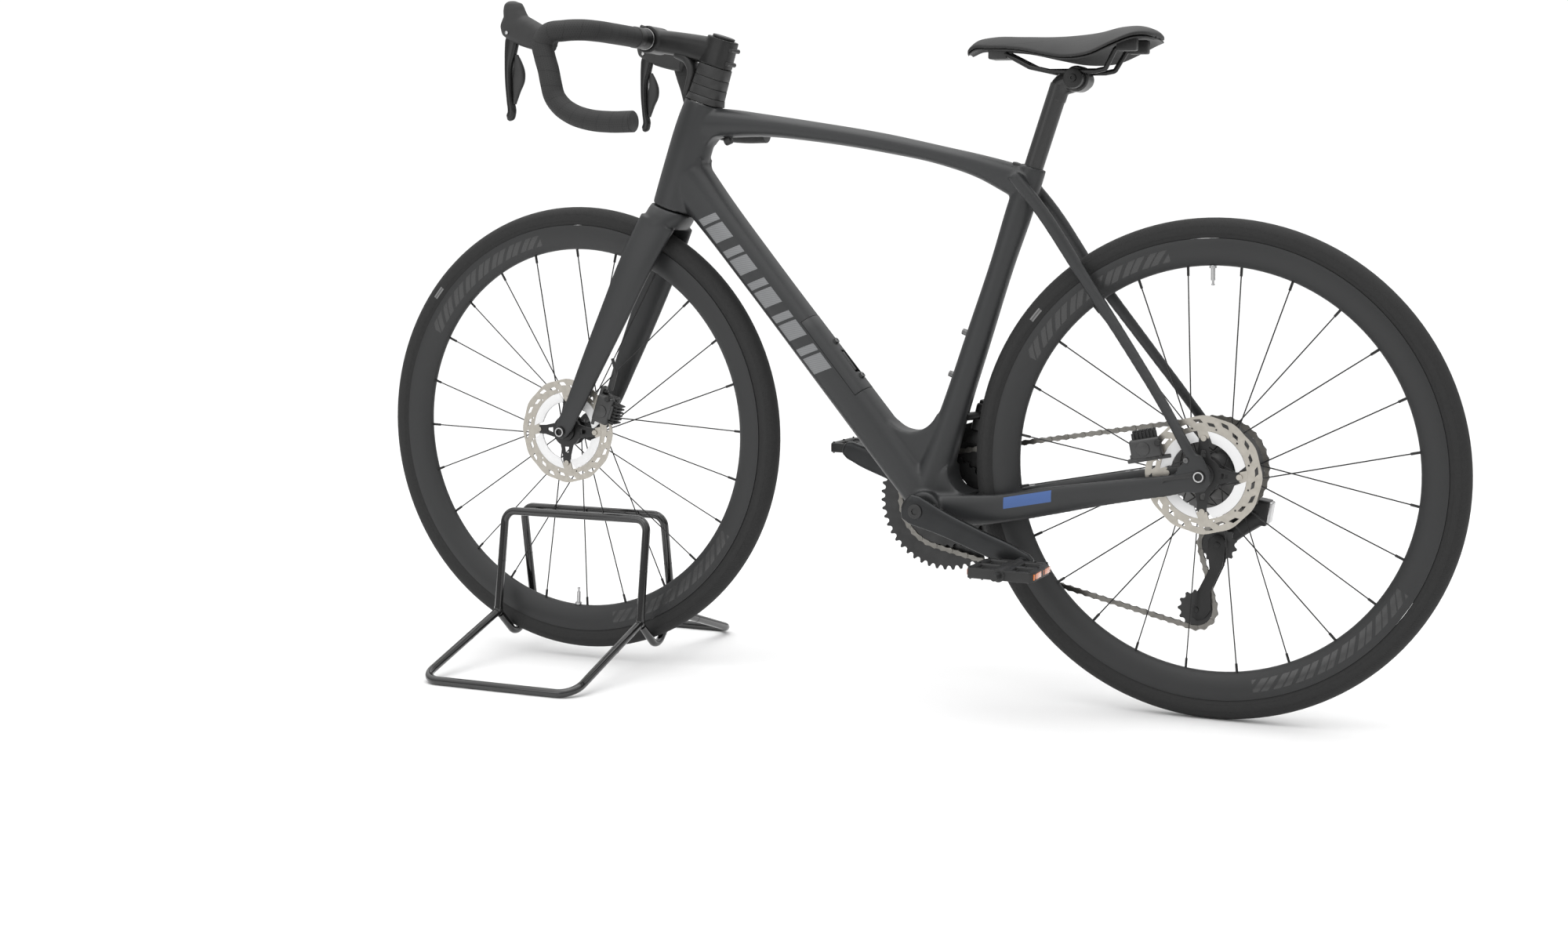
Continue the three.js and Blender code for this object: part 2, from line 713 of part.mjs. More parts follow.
const sockets = join(
  box([-332, -15, 901], [-304, 15, SADDLE_TOP - COVER_THICKNESS - 1]),
  box([-140, -36, 908], [-112, -22, SADDLE_TOP - COVER_THICKNESS + 2]),
  box([-140, 22, 908], [-112, 36, SADDLE_TOP - COVER_THICKNESS + 2]),
);
place(
  level,
  "saddle_shell",
  cut(
    join(
      saddleLayer(COVER_THICKNESS + GAP, SHELL_THICKNESS, 2, 1, SADDLE_STATIONS.length - 1),
      sockets,
    ),
    railWire(RAIL_RADIUS + GAP, 1),
    saddleLayer(-1, COVER_THICKNESS + GAP + 1, 0, 0, SADDLE_STATIONS.length),
  ),
  "plastic",
);

// ---------------------------------------------------------------- fork and cockpit

const BLADE_TIP_Y = FRONT_HUB_HALF + GAP + 5;
function blade(side) {
  return shaped(
    [
      [5, 30, CROWN_HEIGHT - 22, 30, 10],
      [12.8, 40, 291, 28, 9.5],
      [22.3, 47, 200, 24, 9],
      [33, 52, 107, 19, 8],
      [40.4, BLADE_TIP_Y, 41, 15, 6],
      [FORK_OFFSET, BLADE_TIP_Y, 0, 12, 5],
      [FORK_OFFSET + 2, BLADE_TIP_Y, -10, 8, 5],
    ]
      .map(([forward, y, up, depth, width]) => [forward, side * y, up, depth, width])
      .map(steerStation),
    { sides: 12, square: 2.3 },
  );
}
const crown = shaped(
  [
    [5, 0, CROWN_HEIGHT - 27, 29, 41],
    [3, 0, CROWN_HEIGHT - 14, 33, 37],
    [0, 0, CROWN_HEIGHT, 33.5, 30],
  ].map(steerStation),
  { sides: 16, square: 2.4, axis: UP },
);
const frontAxleHole = pin(AXLE_RADIUS + GAP, -WHEELBASE, TYRE_RADIUS, -80, 80);
place(
  level,
  "fork",
  cut(
    join(crown, blade(-1), blade(1), steererRing(STEERER_RADIUS, CROWN_HEIGHT - 5, STEM_TOP - 3)),
    frontAxleHole,
  ),
  "carbon",
);

const steererBore = steererRing(STEERER_RADIUS + GAP, HEAD_TOP - 5, STEM_TOP + 20);
place(
  level,
  "headset_spacers",
  cut(
    shaped(
      [
        [0, 0, SPACER_BOTTOM, 29, 26],
        [0, 0, SPACER_BOTTOM + 10, 27, 23],
        [1, 0, SPACER_BOTTOM + SPACER_STACK, 25, 21],
      ].map(steerStation),
      { sides: 14, square: 2.6, axis: UP },
    ),
    steererBore,
  ),
  "plastic",
);

// The stem drops a little towards the handlebar.
const BAR_DROP = 20;
const BAR_UP = STEM_TOP - STEM_HEIGHT / 2 - BAR_DROP + 4;
const BAR_CENTRE = steer(STEM_REACH, 0, BAR_UP);
const steerPin = (radius, half, forward, up, sides) => {
  const [x, , z] = steer(forward, 0, up);
  return pin(radius, x, z, -half, half, sides);
};
place(
  level,
  "stem",
  cut(
    join(
      shaped(
        [
          [1, 0, STEM_BOTTOM, 25, 21],
          [0, 0, STEM_TOP, 23, 19],
        ].map(steerStation),
        { sides: 14, square: 2.6, axis: UP },
      ),
      shaped(
        [
          [0, 0, STEM_BOTTOM + 22, 19, 19],
          [55, 0, STEM_BOTTOM + 15, 17, 18],
          [STEM_REACH - 8, 0, BAR_UP + 1, 17, 22],
        ].map(steerStation),
        { sides: 14, square: 3 },
      ),
      steerPin(BAR_CLAMP_RADIUS + 4.5, 22, STEM_REACH, BAR_UP, 20),
    ),
    steererBore,
    steerPin(BAR_CLAMP_RADIUS + GAP, 40, STEM_REACH, BAR_UP, 20),
  ),
  "carbon",
);

// The handlebar's centre line, from one end to the other: half of it, from the middle outwards,
// as [forward of the clamp, across, above the clamp].
const BAR_TOP_HALF = 60;
const BAR_HALF = [
  [0, BAR_TOP_HALF, 0],
  [0, BAR_HALF_WIDTH - 85, 0],
  [2, BAR_HALF_WIDTH - 50, 0],
  [13, BAR_HALF_WIDTH - 27, 0],
  [33, BAR_HALF_WIDTH - 12, -2],
  [55, BAR_HALF_WIDTH - 5, -7],
  [63, BAR_HALF_WIDTH - 3, -20],
  [59, BAR_HALF_WIDTH - 2, -38],
  [52, BAR_HALF_WIDTH - 1, -58],
  [47, BAR_HALF_WIDTH, -77],
  [41, BAR_HALF_WIDTH, -96],
  [30, BAR_HALF_WIDTH, -109],
  [10, BAR_HALF_WIDTH, -121],
  [-14, BAR_HALF_WIDTH, -128],
  [-50, BAR_HALF_WIDTH, -131.5],
  [-87, BAR_HALF_WIDTH, -131],
];
const barPoint = ([ahead, across, above], side) =>
  new THREE.Vector3(BAR_CENTRE[0] - ahead, side * across, BAR_CENTRE[2] + above);
const barCurve = new THREE.CatmullRomCurve3(
  [
    ...BAR_HALF.map((point) => barPoint(point, -1)).reverse(),
    barPoint([0, 0, 0], 1),
    ...BAR_HALF.map((point) => barPoint(point, 1)),
  ],
  false,
  "centripetal",
);
const BAR_STEPS = 42;
const barTube = (radius) => roundTube(barCurve, BAR_STEPS, radius);
place(
  level,
  "handlebar",
  join(barTube(BAR_RADIUS), steerPin(BAR_CLAMP_RADIUS, 34, STEM_REACH, BAR_UP, 20)),
  "blackMetal",
);

// Tape covers each half of the bar from beside the stem's clamp to the end of the drop.
const TAPE_START = 44; // from the middle of the bar
const BAR_END = BAR_CENTRE[0] - BAR_HALF[BAR_HALF.length - 1][0];
const tapeSide = (side, radius) =>
  barTube(radius).intersect(
    box(
      [-WHEELBASE, side > 0 ? TAPE_START : -2 * BAR_HALF_WIDTH, 0],
      [BAR_END - 1, side > 0 ? 2 * BAR_HALF_WIDTH : -TAPE_START, 2 * SADDLE_TOP],
    ),
  );
const barBore = barTube(BAR_RADIUS + GAP);
const SIDES = [
  ["left", -1],
  ["right", 1],
];
for (const [name, side] of SIDES) {
  place(level, "bar_tape_" + name, cut(tapeSide(side, TAPE_RADIUS), barBore), "rubber");
}

// Lever hoods: a rubber-covered bracket on the front of each bend, with a slot for the lever.
const HOOD_Y = BAR_HALF_WIDTH - 15;
const HOOD_HALF_WIDTH = 14;
const LEVER_HALF_WIDTH = 5;
const LEVER_PIVOT = [BAR_CENTRE[0] - 123, BAR_CENTRE[2] - 9];
const fromPivot = ([x, z]) => [LEVER_PIVOT[0] + x, LEVER_PIVOT[1] + z];
const HOOD_OUTLINE = [
  [-6, -2],
  [-12, 14],
  [-13, 34],
  [-4, 45],
  [10, 48],
  [22, 44],
  [30, 30],
  [42, 16],
  [62, 12],
  [66, -4],
  [60, -26],
  [44, -20],
  [30, -16],
  [12, -11],
];
// In outline from the pivot: the blade hangs down from it.
const LEVER_OUTLINE = [
  [-6, 4],
  [3, 6],
  [8, -8],
  [8, -40],
  [4, -80],
  [2, -116],
  [-4, -119],
  [-9, -114],
  [-7, -92],
  [-11, -50],
  [-10, -14],
];
const BUTTON_OUTLINE = [
  [9, -36],
  [20, -58],
  [11, -78],
  [6, -94],
  [5, -80],
];
for (const [name, side] of SIDES) {
  const y = side * HOOD_Y;
  const hood = plate(
    HOOD_OUTLINE.map(fromPivot),
    y - HOOD_HALF_WIDTH,
    y + HOOD_HALF_WIDTH,
  );
  const slot = box(
    [LEVER_PIVOT[0] - 20, y - LEVER_HALF_WIDTH - 1, LEVER_PIVOT[1] - 40],
    [LEVER_PIVOT[0] + 25, y + LEVER_HALF_WIDTH + 1, LEVER_PIVOT[1] + 12],
  );
  place(level, "hood_" + name, cut(hood, slot, barTube(TAPE_RADIUS + GAP)), "rubber");
  place(
    level,
    "brake_lever_" + name,
    plate(LEVER_OUTLINE.map(fromPivot), y - LEVER_HALF_WIDTH, y + LEVER_HALF_WIDTH),
    "greyMetal",
  );
  place(
    level,
    "shift_button_" + name,
    plate(BUTTON_OUTLINE.map(fromPivot), y - 3, y + 3),
    "plastic",
  );
}

// ---------------------------------------------------------------- wheels

// Crossed steel spokes from two flanges, as one piece with the hub that holds them.
function spokes(x, flanges, flangeRadius) {
  const made = [];
  const perSide = SPOKES / 2;
  const crossing = THREE.MathUtils.degToRad(60);
  for (let side = 0; side < 2; side++) {
    for (let i = 0; i < perSide; i++) {
      const hubAngle = ((i + side * 0.5) / perSide) * 2 * Math.PI;
      const rimAngle = hubAngle + (i % 2 ? -crossing : crossing);
      const at = (radius, angle, y) =>
        new THREE.Vector3(
          x + radius * Math.cos(angle),
          y,
          TYRE_RADIUS + radius * Math.sin(angle),
        );
      const from = at(flangeRadius - 4, hubAngle, flanges[side]);
      const to = at(RIM_INNER_RADIUS - 1, rimAngle, side ? 3 : -3);
      const along = to.clone().sub(from);
      const rod = new THREE.CylinderGeometry(SPOKE_RADIUS, SPOKE_RADIUS, along.length(), 3);
      const turn = new THREE.Quaternion().setFromUnitVectors(
        new THREE.Vector3(0, 1, 0),
        along.clone().normalize(),
      );
      rod.applyQuaternion(turn).translate(...from.clone().add(to).divideScalar(2).toArray());
      made.push(solid(rod));
    }
  }
  return made;
}

const TYRE_SEAT = RIM_OUTER_RADIUS + GAP;
const TYRE_PROFILE = [
  [TYRE_SEAT, 0.79],
  [0.94 * TYRE_RADIUS, 0.97],
  [0.962 * TYRE_RADIUS, 0.99],
  [0.984 * TYRE_RADIUS, 0.74],
  [0.996 * TYRE_RADIUS, 0.4],
  [TYRE_RADIUS, 0],
];
const mirrored = (half) => [
  ...half,
  ...half
    .filter(([, y]) => y > 0)
    .map(([radius, y]) => [radius, -y])
    .reverse(),
];
const RIM_PROFILE = [
  [RIM_OUTER_RADIUS, RIM_HALF_WIDTH - 0.6],
  [RIM_OUTER_RADIUS - 12, RIM_HALF_WIDTH],
  [RIM_OUTER_RADIUS - 26, 0.8 * RIM_HALF_WIDTH],
  [RIM_INNER_RADIUS + 3, 0.38 * RIM_HALF_WIDTH],
  [RIM_INNER_RADIUS, 0.15 * RIM_HALF_WIDTH],
];
const WHEEL_SEGMENTS = 40;

const HUB_SPIGOT_RADIUS = 15;
const HUB_END_RADIUS = 10;
const FLANGE_RADIUS = 22;

// A brake rotor: a thin track on arms, with an open middle for the hub.
const ROTOR_ARMS = 4;
const ROTOR_TRACK_RADIUS = 58; // inner edge of the braking track
const ROTOR_CENTRE_RADIUS = 30; // outer edge of the middle
const ROTOR_ARM_TURN = 0.22; // half an arm, in radians
function rotor(x, y) {
  const windows = [];
  const sweep = (2 * Math.PI) / ROTOR_ARMS - 2 * ROTOR_ARM_TURN;
  const at = (radius, angle) => [
    x + radius * Math.cos(angle),
    TYRE_RADIUS + radius * Math.sin(angle),
  ];
  for (let i = 0; i < ROTOR_ARMS; i++) {
    const start = (i / ROTOR_ARMS) * 2 * Math.PI + ROTOR_ARM_TURN;
    const outer = [0, 1, 2, 3, 4].map((k) => at(ROTOR_TRACK_RADIUS, start + (sweep * k) / 4));
    const inner = [2, 1, 0].map((k) => at(ROTOR_CENTRE_RADIUS, start + (sweep * (k + 0.5)) / 3));
    windows.push([...outer, ...inner]);
  }
  const track = circle(x, TYRE_RADIUS, ROTOR_RADIUS, 32);
  windows.push(circle(x, TYRE_RADIUS, HUB_SPIGOT_RADIUS + GAP, 16));
  return plate(track, y - ROTOR_THICKNESS / 2, y + ROTOR_THICKNESS / 2, windows);
}

function hub(x, half, flanges, leftStep) {
  const bore = AXLE_RADIUS + GAP;
  const profile = [
    [bore, -half],
    [HUB_END_RADIUS, -half],
    [HUB_END_RADIUS, leftStep - 6],
    [HUB_SPIGOT_RADIUS, leftStep - 6],
    [HUB_SPIGOT_RADIUS, flanges[0] - 3],
    [FLANGE_RADIUS, flanges[0] - 2],
    [FLANGE_RADIUS, flanges[0] + 2],
    [14, flanges[0] + 4],
    [14, flanges[1] - 4],
    [FLANGE_RADIUS, flanges[1] - 2],
    [FLANGE_RADIUS, flanges[1] + 2],
    [HUB_END_RADIUS, flanges[1] + 3],
    [HUB_END_RADIUS, half],
    [bore, half],
  ];
  return join(turned(profile, x, TYRE_RADIUS, 16), ...spokes(x, flanges, FLANGE_RADIUS));
}

const FRONT_ROTOR_Y = -(FRONT_HUB_HALF - FRONT_ROTOR_INSET);
const REAR_ROTOR_Y = -(REAR_HUB_HALF - REAR_ROTOR_INSET);
const WHEELS = [
  ["front", -WHEELBASE, FRONT_HUB_HALF, [-22, 28], FRONT_ROTOR_Y],
  ["rear", 0, REAR_HUB_HALF, [-35, 16], REAR_ROTOR_Y],
];
for (const [name, x, half, flanges, rotorY] of WHEELS) {
  const tyreHalf = TYRE_PROFILE.map(([radius, share]) => [radius, share * TYRE_HALF_WIDTH]);
  place(
    level,
    name + "_tyre",
    turned(mirrored(tyreHalf), x, TYRE_RADIUS, WHEEL_SEGMENTS),
    "tyre",
  );
  place(
    level,
    name + "_rim",
    turned(mirrored(RIM_PROFILE), x, TYRE_RADIUS, WHEEL_SEGMENTS),
    "carbon",
  );
  place(level, name + "_hub_and_spokes", hub(x, half, flanges, rotorY), "blackMetal");
  place(level, name + "_rotor", rotor(x, rotorY), "steel");
}

// Thru-axles: the head is on the left, outside the dropout.
const frontDropoutFace = BLADE_TIP_Y + 5;
const rearDropoutFace = DROPOUT_Y + DROPOUT_THICKNESS / 2;
for (const [name, x, face] of [
  ["front", -WHEELBASE, frontDropoutFace],
  ["rear", 0, rearDropoutFace],
]) {
  const axle = join(
    pin(AXLE_RADIUS, x, TYRE_RADIUS, -face - GAP - 1, face - 1),
    pin(AXLE_RADIUS + 2.5, x, TYRE_RADIUS, -face - GAP - 3, -face - GAP),
  );
  place(level, name + "_thru_axle", axle, "blackMetal");
}

// ---------------------------------------------------------------- brakes

// A two-piston caliper: a block beside the rotor, slotted so that the rotor's rim runs through it.
function caliper(wheelX, rotorY, middle, along, halfLength, halfHeight) {
  const halfWidth = 14;
  const shape = new THREE.BoxGeometry(2 * halfLength, 2 * halfWidth, 2 * halfHeight);
  shape.rotateY(-along).translate(middle[0], rotorY, middle[1]);
  const slot = pin(
    ROTOR_RADIUS + 2,
    wheelX,
    TYRE_RADIUS,
    rotorY - ROTOR_THICKNESS / 2 - 1,
    rotorY + ROTOR_THICKNESS / 2 + 1,
    32,
  );
  return cut(solid(shape), slot);
}
const frontCaliper = steer(-6, 0, 57);
place(
  level,
  "front_caliper",
  caliper(
    -WHEELBASE,
    FRONT_ROTOR_Y,
    [frontCaliper[0], frontCaliper[2]],
    HEAD_ANGLE,
    25,
    16,
  ),
  "greyMetal",
);
place(
  level,
  "rear_caliper",
  caliper(0, REAR_ROTOR_Y, [-77, 375], THREE.MathUtils.degToRad(12), 24, 17),
  "greyMetal",
);

// The front hose leaves the back of the left blade and bends into the top of the caliper.
const hoseCorners = [
  [2, -47, 132],
  [-8, -44, 118],
  [-8, FRONT_ROTOR_Y - 4, 82 + GAP],
].map(([forward, y, up]) => steer(forward, y, up));
const hosePath = new BentPath(hoseCorners, 12, 4);
place(
  level,
  "front_brake_hose",
  cut(roundTube(hosePath, hosePath.steps, 2.5), blade(-1)),
  "plastic",
);

// ---------------------------------------------------------------- crankset

const pitchRadius = (teeth) => CHAIN_PITCH / (2 * Math.sin(Math.PI / teeth));
// The outside of a wheel that the chain lies round, under the middle of a straight piece of it.
const seatRadius = (pitch) =>
  pitch * Math.cos(CHAIN_STEP / 2 / pitch) - CHAIN_HEIGHT / 2 - GAP;
const crankEnd = (side) => [
  BB[0] - side * CRANK_LENGTH * Math.cos(CRANK_TURN),
  BB[1] - side * CRANK_LENGTH * Math.sin(CRANK_TURN),
];
const PEDAL_SPINDLE_RADIUS = 4.5;
const PEDAL_HALF_WIDTH = 44;
const PEDAL_INNER_Y = CRANK_OUTER_FACE + 12;
function crankArm(side) {
  const end = crankEnd(side);
  const turn = Math.atan2(end[1] - BB[1], end[0] - BB[0]);
  const rotate = ([along, across]) => [
    BB[0] + along * Math.cos(turn) - across * Math.sin(turn),
    BB[1] + along * Math.sin(turn) + across * Math.cos(turn),
  ];
  const outline = [
    [-20, -9],
    [-9, -20],
    [10, -19],
    [CRANK_LENGTH, -14],
    [CRANK_LENGTH + 13, -6],
    [CRANK_LENGTH + 13, 6],
    [CRANK_LENGTH, 14],
    [10, 19],
    [-9, 20],
    [-20, 9],
  ].map(rotate);
  const faces = [CRANK_OUTER_FACE - CRANK_THICKNESS, CRANK_OUTER_FACE].map((y) => side * y);
  const spindleEnd = PEDAL_INNER_Y + 2 * PEDAL_HALF_WIDTH - 8;
  const stub = [CRANK_OUTER_FACE - 6, spindleEnd].map((y) => side * y);
  return join(
    plate(outline, Math.min(...faces), Math.max(...faces)),
    pin(PEDAL_SPINDLE_RADIUS, ...end, Math.min(...stub), Math.max(...stub), 12),
  );
}
place(
  level,
  "crank_arm_left",
  cut(crankArm(-1), pin(SPINDLE_RADIUS + GAP, ...BB, -CRANK_OUTER_FACE - 5, 0)),
  "greyMetal",
);

const SPIDER_RADIUS = 62;
const spiderHub = pin(26, ...BB, RING_SMALL_Y + 4, CRANK_OUTER_FACE - CRANK_THICKNESS + 1);
const spiderArms = [0, 1, 2, 3].map((i) => {
  const turn = CRANK_TURN + Math.PI / 4 + (i * Math.PI) / 2;
  const arm = new THREE.BoxGeometry(SPIDER_RADIUS, 6, 16);
  arm.translate(SPIDER_RADIUS / 2, 0, 0).rotateY(-turn);
  return solid(arm.translate(BB[0], RING_LARGE_Y + 6, BB[1]));
});
place(
  level,
  "crank_arm_right",
  join(
    crankArm(1),
    pin(SPINDLE_RADIUS, ...BB, -CRANK_OUTER_FACE + 1, CRANK_OUTER_FACE - 5, 16),
    spiderHub,
    ...spiderArms,
  ),
  "greyMetal",
);

// A toothed ring. Each tooth is a tip between two roots.
function chainring(teeth, y, tip, root, inner) {
  const outline = [];
  for (let i = 0; i < teeth; i++) {
    for (const [share, radius] of [
      [0, root],
      [0.5, tip],
    ]) {
      const angle = ((i + share) / teeth) * 2 * Math.PI;
      outline.push([BB[0] + radius * Math.cos(angle), BB[1] + radius * Math.sin(angle)]);
    }
  }
  return plate(outline, y - 1.5, y + 1.5, [circle(...BB, inner, 24)]);
}
const largePitch = pitchRadius(RING_LARGE_TEETH);
const smallPitch = pitchRadius(RING_SMALL_TEETH);
place(
  level,
  "large_chainring",
  chainring(RING_LARGE_TEETH, RING_LARGE_Y, largePitch + 2, largePitch - 4, 54),
  "blackMetal",
);
place(
  level,
  "small_chainring",
  plate(circle(...BB, seatRadius(smallPitch), 34), RING_SMALL_Y - 1.5, RING_SMALL_Y + 1.5, [
    circle(...BB, 44, 24),
  ]),
  "blackMetal",
);

// Platform pedals: two long rails and a boss on the spindle, joined by end bars.
function pedal(side) {
  const [x, z] = crankEnd(side);
  const [near, far] = [PEDAL_INNER_Y, PEDAL_INNER_Y + 2 * PEDAL_HALF_WIDTH];
  const [y0, y1] = side > 0 ? [near, far] : [-far, -near];
  const body = box([x - 48, y0, z - 9], [x + 48, y1, z + 9]);
  const windows = [-1, 1].map((end) =>
    box(
      [x + (end < 0 ? -40 : 12), y0 + 10, z - 20],
      [x + (end < 0 ? -12 : 40), y1 - 10, z + 20],
    ),
  );
  return cut(body, ...windows, pin(PEDAL_SPINDLE_RADIUS + GAP, x, z, y0 - 5, y1 + 5, 12));
}
place(level, "pedal_left", pedal(-1), "plastic");
place(level, "pedal_right", pedal(1), "plastic");

// ---------------------------------------------------------------- cassette, chain and derailleurs

const AXLE_Z = TYRE_RADIUS;
const cogPitch = pitchRadius(COG_TEETH);
const cogTop = seatRadius(cogPitch);
const CASSETTE_STEPS = [
  [cogTop, COG_Y - 1.2],
  [cogTop - 6, COG_Y + 4.5],
  [cogTop - 14, COG_Y + 10],
  [cogTop - 22, COG_Y + 16],
  [cogTop - 30, COG_Y + 22],
  [cogTop - 38, COG_Y + 28],
];
const cassetteProfile = [[HUB_END_RADIUS + GAP, COG_Y - 2.5]];
CASSETTE_STEPS.forEach(([radius, y], i) => {
  const next = CASSETTE_STEPS[i + 1] ? CASSETTE_STEPS[i + 1][1] : COG_Y + 35;
  cassetteProfile.push([radius, y], [radius, next]);
});
cassetteProfile.push([HUB_END_RADIUS + GAP, COG_Y + 36]);
place(level, "cassette", turned(cassetteProfile, 0, AXLE_Z, 24), "greyMetal");

const jockeyPitch = pitchRadius(JOCKEY_TEETH);
const JOCKEY_UPPER = [4, 237];
const JOCKEY_LOWER = [-24, 144];

// The chain lies on the inner ring, the largest cog and both jockey wheels. Each wheel is
// [x, z, pitch radius, turn (+1 runs anticlockwise seen from -Y), y].
const CHAIN_WHEELS = [
  [...BB, smallPitch, -1, RING_SMALL_Y],
  [0, AXLE_Z, cogPitch, -1, COG_Y],
  [...JOCKEY_UPPER, jockeyPitch, 1, COG_Y],
  [...JOCKEY_LOWER, jockeyPitch, -1, COG_Y],
];
// The straight run that leaves one wheel and meets the next, as an angle on each.
function chainRun([x0, z0, r0, turn0], [x1, z1, r1, turn1]) {
  const distance = Math.hypot(x1 - x0, z1 - z0);
  const bearing = Math.atan2(z1 - z0, x1 - x0);
  const lean = Math.asin((r0 * turn0 - r1 * turn1) / distance);
  const normal = bearing - Math.PI / 2 + lean;
  return [normal + (turn0 > 0 ? 0 : Math.PI), normal + (turn1 > 0 ? 0 : Math.PI)];
}
const runs = CHAIN_WHEELS.map((wheel, i) =>
  chainRun(wheel, CHAIN_WHEELS[(i + 1) % CHAIN_WHEELS.length]),
);
const chainStations = [];
CHAIN_WHEELS.forEach(([x, z, radius, turn, y], i) => {
  const arrive = runs[(i + CHAIN_WHEELS.length - 1) % CHAIN_WHEELS.length][1];
  const leave = runs[i][0];
  let sweep = leave - arrive;
  while (sweep * turn < 0) sweep += turn * 2 * Math.PI;
  while (sweep * turn > 2 * Math.PI) sweep -= turn * 2 * Math.PI;
  const steps = Math.ceil((Math.abs(sweep) * radius) / CHAIN_STEP);
  for (let k = 0; k <= steps; k++) {
    const angle = arrive + (sweep * k) / steps;
    chainStations.push([
      x + radius * Math.cos(angle),
      y,
      z + radius * Math.sin(angle),
      CHAIN_HEIGHT / 2 / Math.SQRT1_2,
      CHAIN_WIDTH / 2 / Math.SQRT1_2,
    ]);
  }
});
place(level, "chain", shaped(chainStations, { sides: 4, loop: true }), "chain");

// Front derailleur: a motor block behind the seat tube, over a cage of two plates and a bridge.
place(
  level,
  "front_derailleur",
  join(
    box([-358, 22, 372], [-336, 50, 412]),
    plate(
      [
        [-385, 378],
        [-336, 390],
        [-318, 362],
        [-330, 346],
        [-382, 356],
      ],
      RING_SMALL_Y - 8.5,
      RING_SMALL_Y - 7,
    ),
    plate(
      [
        [-385, 378],
        [-336, 390],
        [-318, 362],
        [-330, 350],
        [-382, 366],
      ],
      RING_LARGE_Y + 3.2,
      RING_LARGE_Y + 4.7,
    ),
    plate(
      [
        [-372, 378],
        [-336, 390],
        [-334, 384],
        [-372, 374],
      ],
      RING_SMALL_Y - 8,
      RING_LARGE_Y + 4,
    ),
  ),
  "blackMetal",
);

// Rear derailleur: a hanger arm from the right dropout, the motor block behind, and the lower
// knuckle beside the cage.
const CAGE_INNER_Y = COG_Y - 6.5;
const CAGE_OUTER_Y = COG_Y + 6.5;
place(
  level,
  "rear_derailleur_body",
  join(
    plate(
      [
        [-2, 318],
        [22, 320],
        [34, 296],
        [26, 276],
        [10, 282],
        [0, 300],
      ],
      DROPOUT_Y + DROPOUT_THICKNESS / 2 - 6,
      DROPOUT_Y + DROPOUT_THICKNESS / 2 + 8,
    ),
    box([20, 52, 262], [68, 80, 300]),
    shaped(
      [
        [50, 62, 275, 14, 12],
        [24, 54, 258, 15, 12],
        [JOCKEY_UPPER[0] - 2, CAGE_OUTER_Y + 10, JOCKEY_UPPER[1], 13, 8],
      ],
      { sides: 10 },
    ),
  ),
  "blackMetal",
);

const cagePlate = (y) => {
  const [[ux, uz], [lx, lz]] = [JOCKEY_UPPER, JOCKEY_LOWER];
  return plate(
    [
      [ux - 14, uz - 4],
      [ux - 8, uz + 12],
      [ux + 8, uz + 12],
      [ux + 14, uz - 4],
      [lx + 13, lz],
      [lx + 8, lz - 13],
      [lx - 8, lz - 13],
      [lx - 13, lz],
    ],
    y - 1,
    y + 1,
  );
};
const JOCKEY_PIN_RADIUS = 3;
const cagePins = [JOCKEY_UPPER, JOCKEY_LOWER].map(([x, z]) =>
  pin(JOCKEY_PIN_RADIUS, x, z, CAGE_INNER_Y, CAGE_OUTER_Y, 10),
);
place(
  level,
  "rear_derailleur_cage",
  join(cagePlate(CAGE_INNER_Y), cagePlate(CAGE_OUTER_Y), ...cagePins),
  "blackMetal",
);
for (const [name, [x, z]] of [
  ["upper", JOCKEY_UPPER],
  ["lower", JOCKEY_LOWER],
]) {
  const wheel = plate(
    circle(x, z, seatRadius(jockeyPitch), 2 * JOCKEY_TEETH),
    COG_Y - 1.5,
    COG_Y + 1.5,
    [circle(x, z, JOCKEY_PIN_RADIUS + GAP, 12)],
  );
  place(level, "jockey_wheel_" + name, wheel, "plastic");
}

// ---------------------------------------------------------------- pitching the bicycle

// The cradle lifts the front axle: the level bicycle turns about its rear axle until it does.
const PITCH = Math.asin(CRADLE_LIFT / WHEELBASE);
const pitched = new THREE.Group();
level.position.set(0, 0, -TYRE_RADIUS);
pitched.add(level);
pitched.rotation.y = PITCH;
pitched.position.set(0, 0, TYRE_RADIUS);

// ---------------------------------------------------------------- stand

const STAND_X = -WHEELBASE * Math.cos(PITCH) + STAND_SHIFT;
const HOOP_BEND = 18;
const FOOT_BEND = 28;
const CRADLE_BEND = 20;

// The cradle bars are as high as they can be under the tyre, at the leg nearer to the axle.
const CRADLE_TUBE_RADIUS = STAND_TUBE_RADIUS - 0.5;
const CRADLE_CLEAR = TYRE_HALF_WIDTH + STAND_TUBE_RADIUS + 2 * GAP;
// The height of the bar's sharp corner at which both of its arms just pass the tyre's round.
function cradleCorner() {
  const leg = STAND_HALF_LENGTH - STAND_SHIFT;
  const drop = Math.sqrt((TYRE_RADIUS - TYRE_HALF_WIDTH) ** 2 - leg ** 2);
  const tyreSlope = leg / drop;
  const tyreMiddle = TYRE_RADIUS + CRADLE_LIFT - drop;
  let corner = 0;
  for (let i = 0; i < 20; i++) {
    const lean = Math.cos(Math.atan2(STAND_JOINT_HEIGHT - corner, STAND_JOINT_HALF_GAP));
    corner = tyreMiddle - (CRADLE_CLEAR * Math.hypot(1, tyreSlope * lean)) / lean;
  }
  return corner;
}
const CRADLE_HEIGHT = cradleCorner();

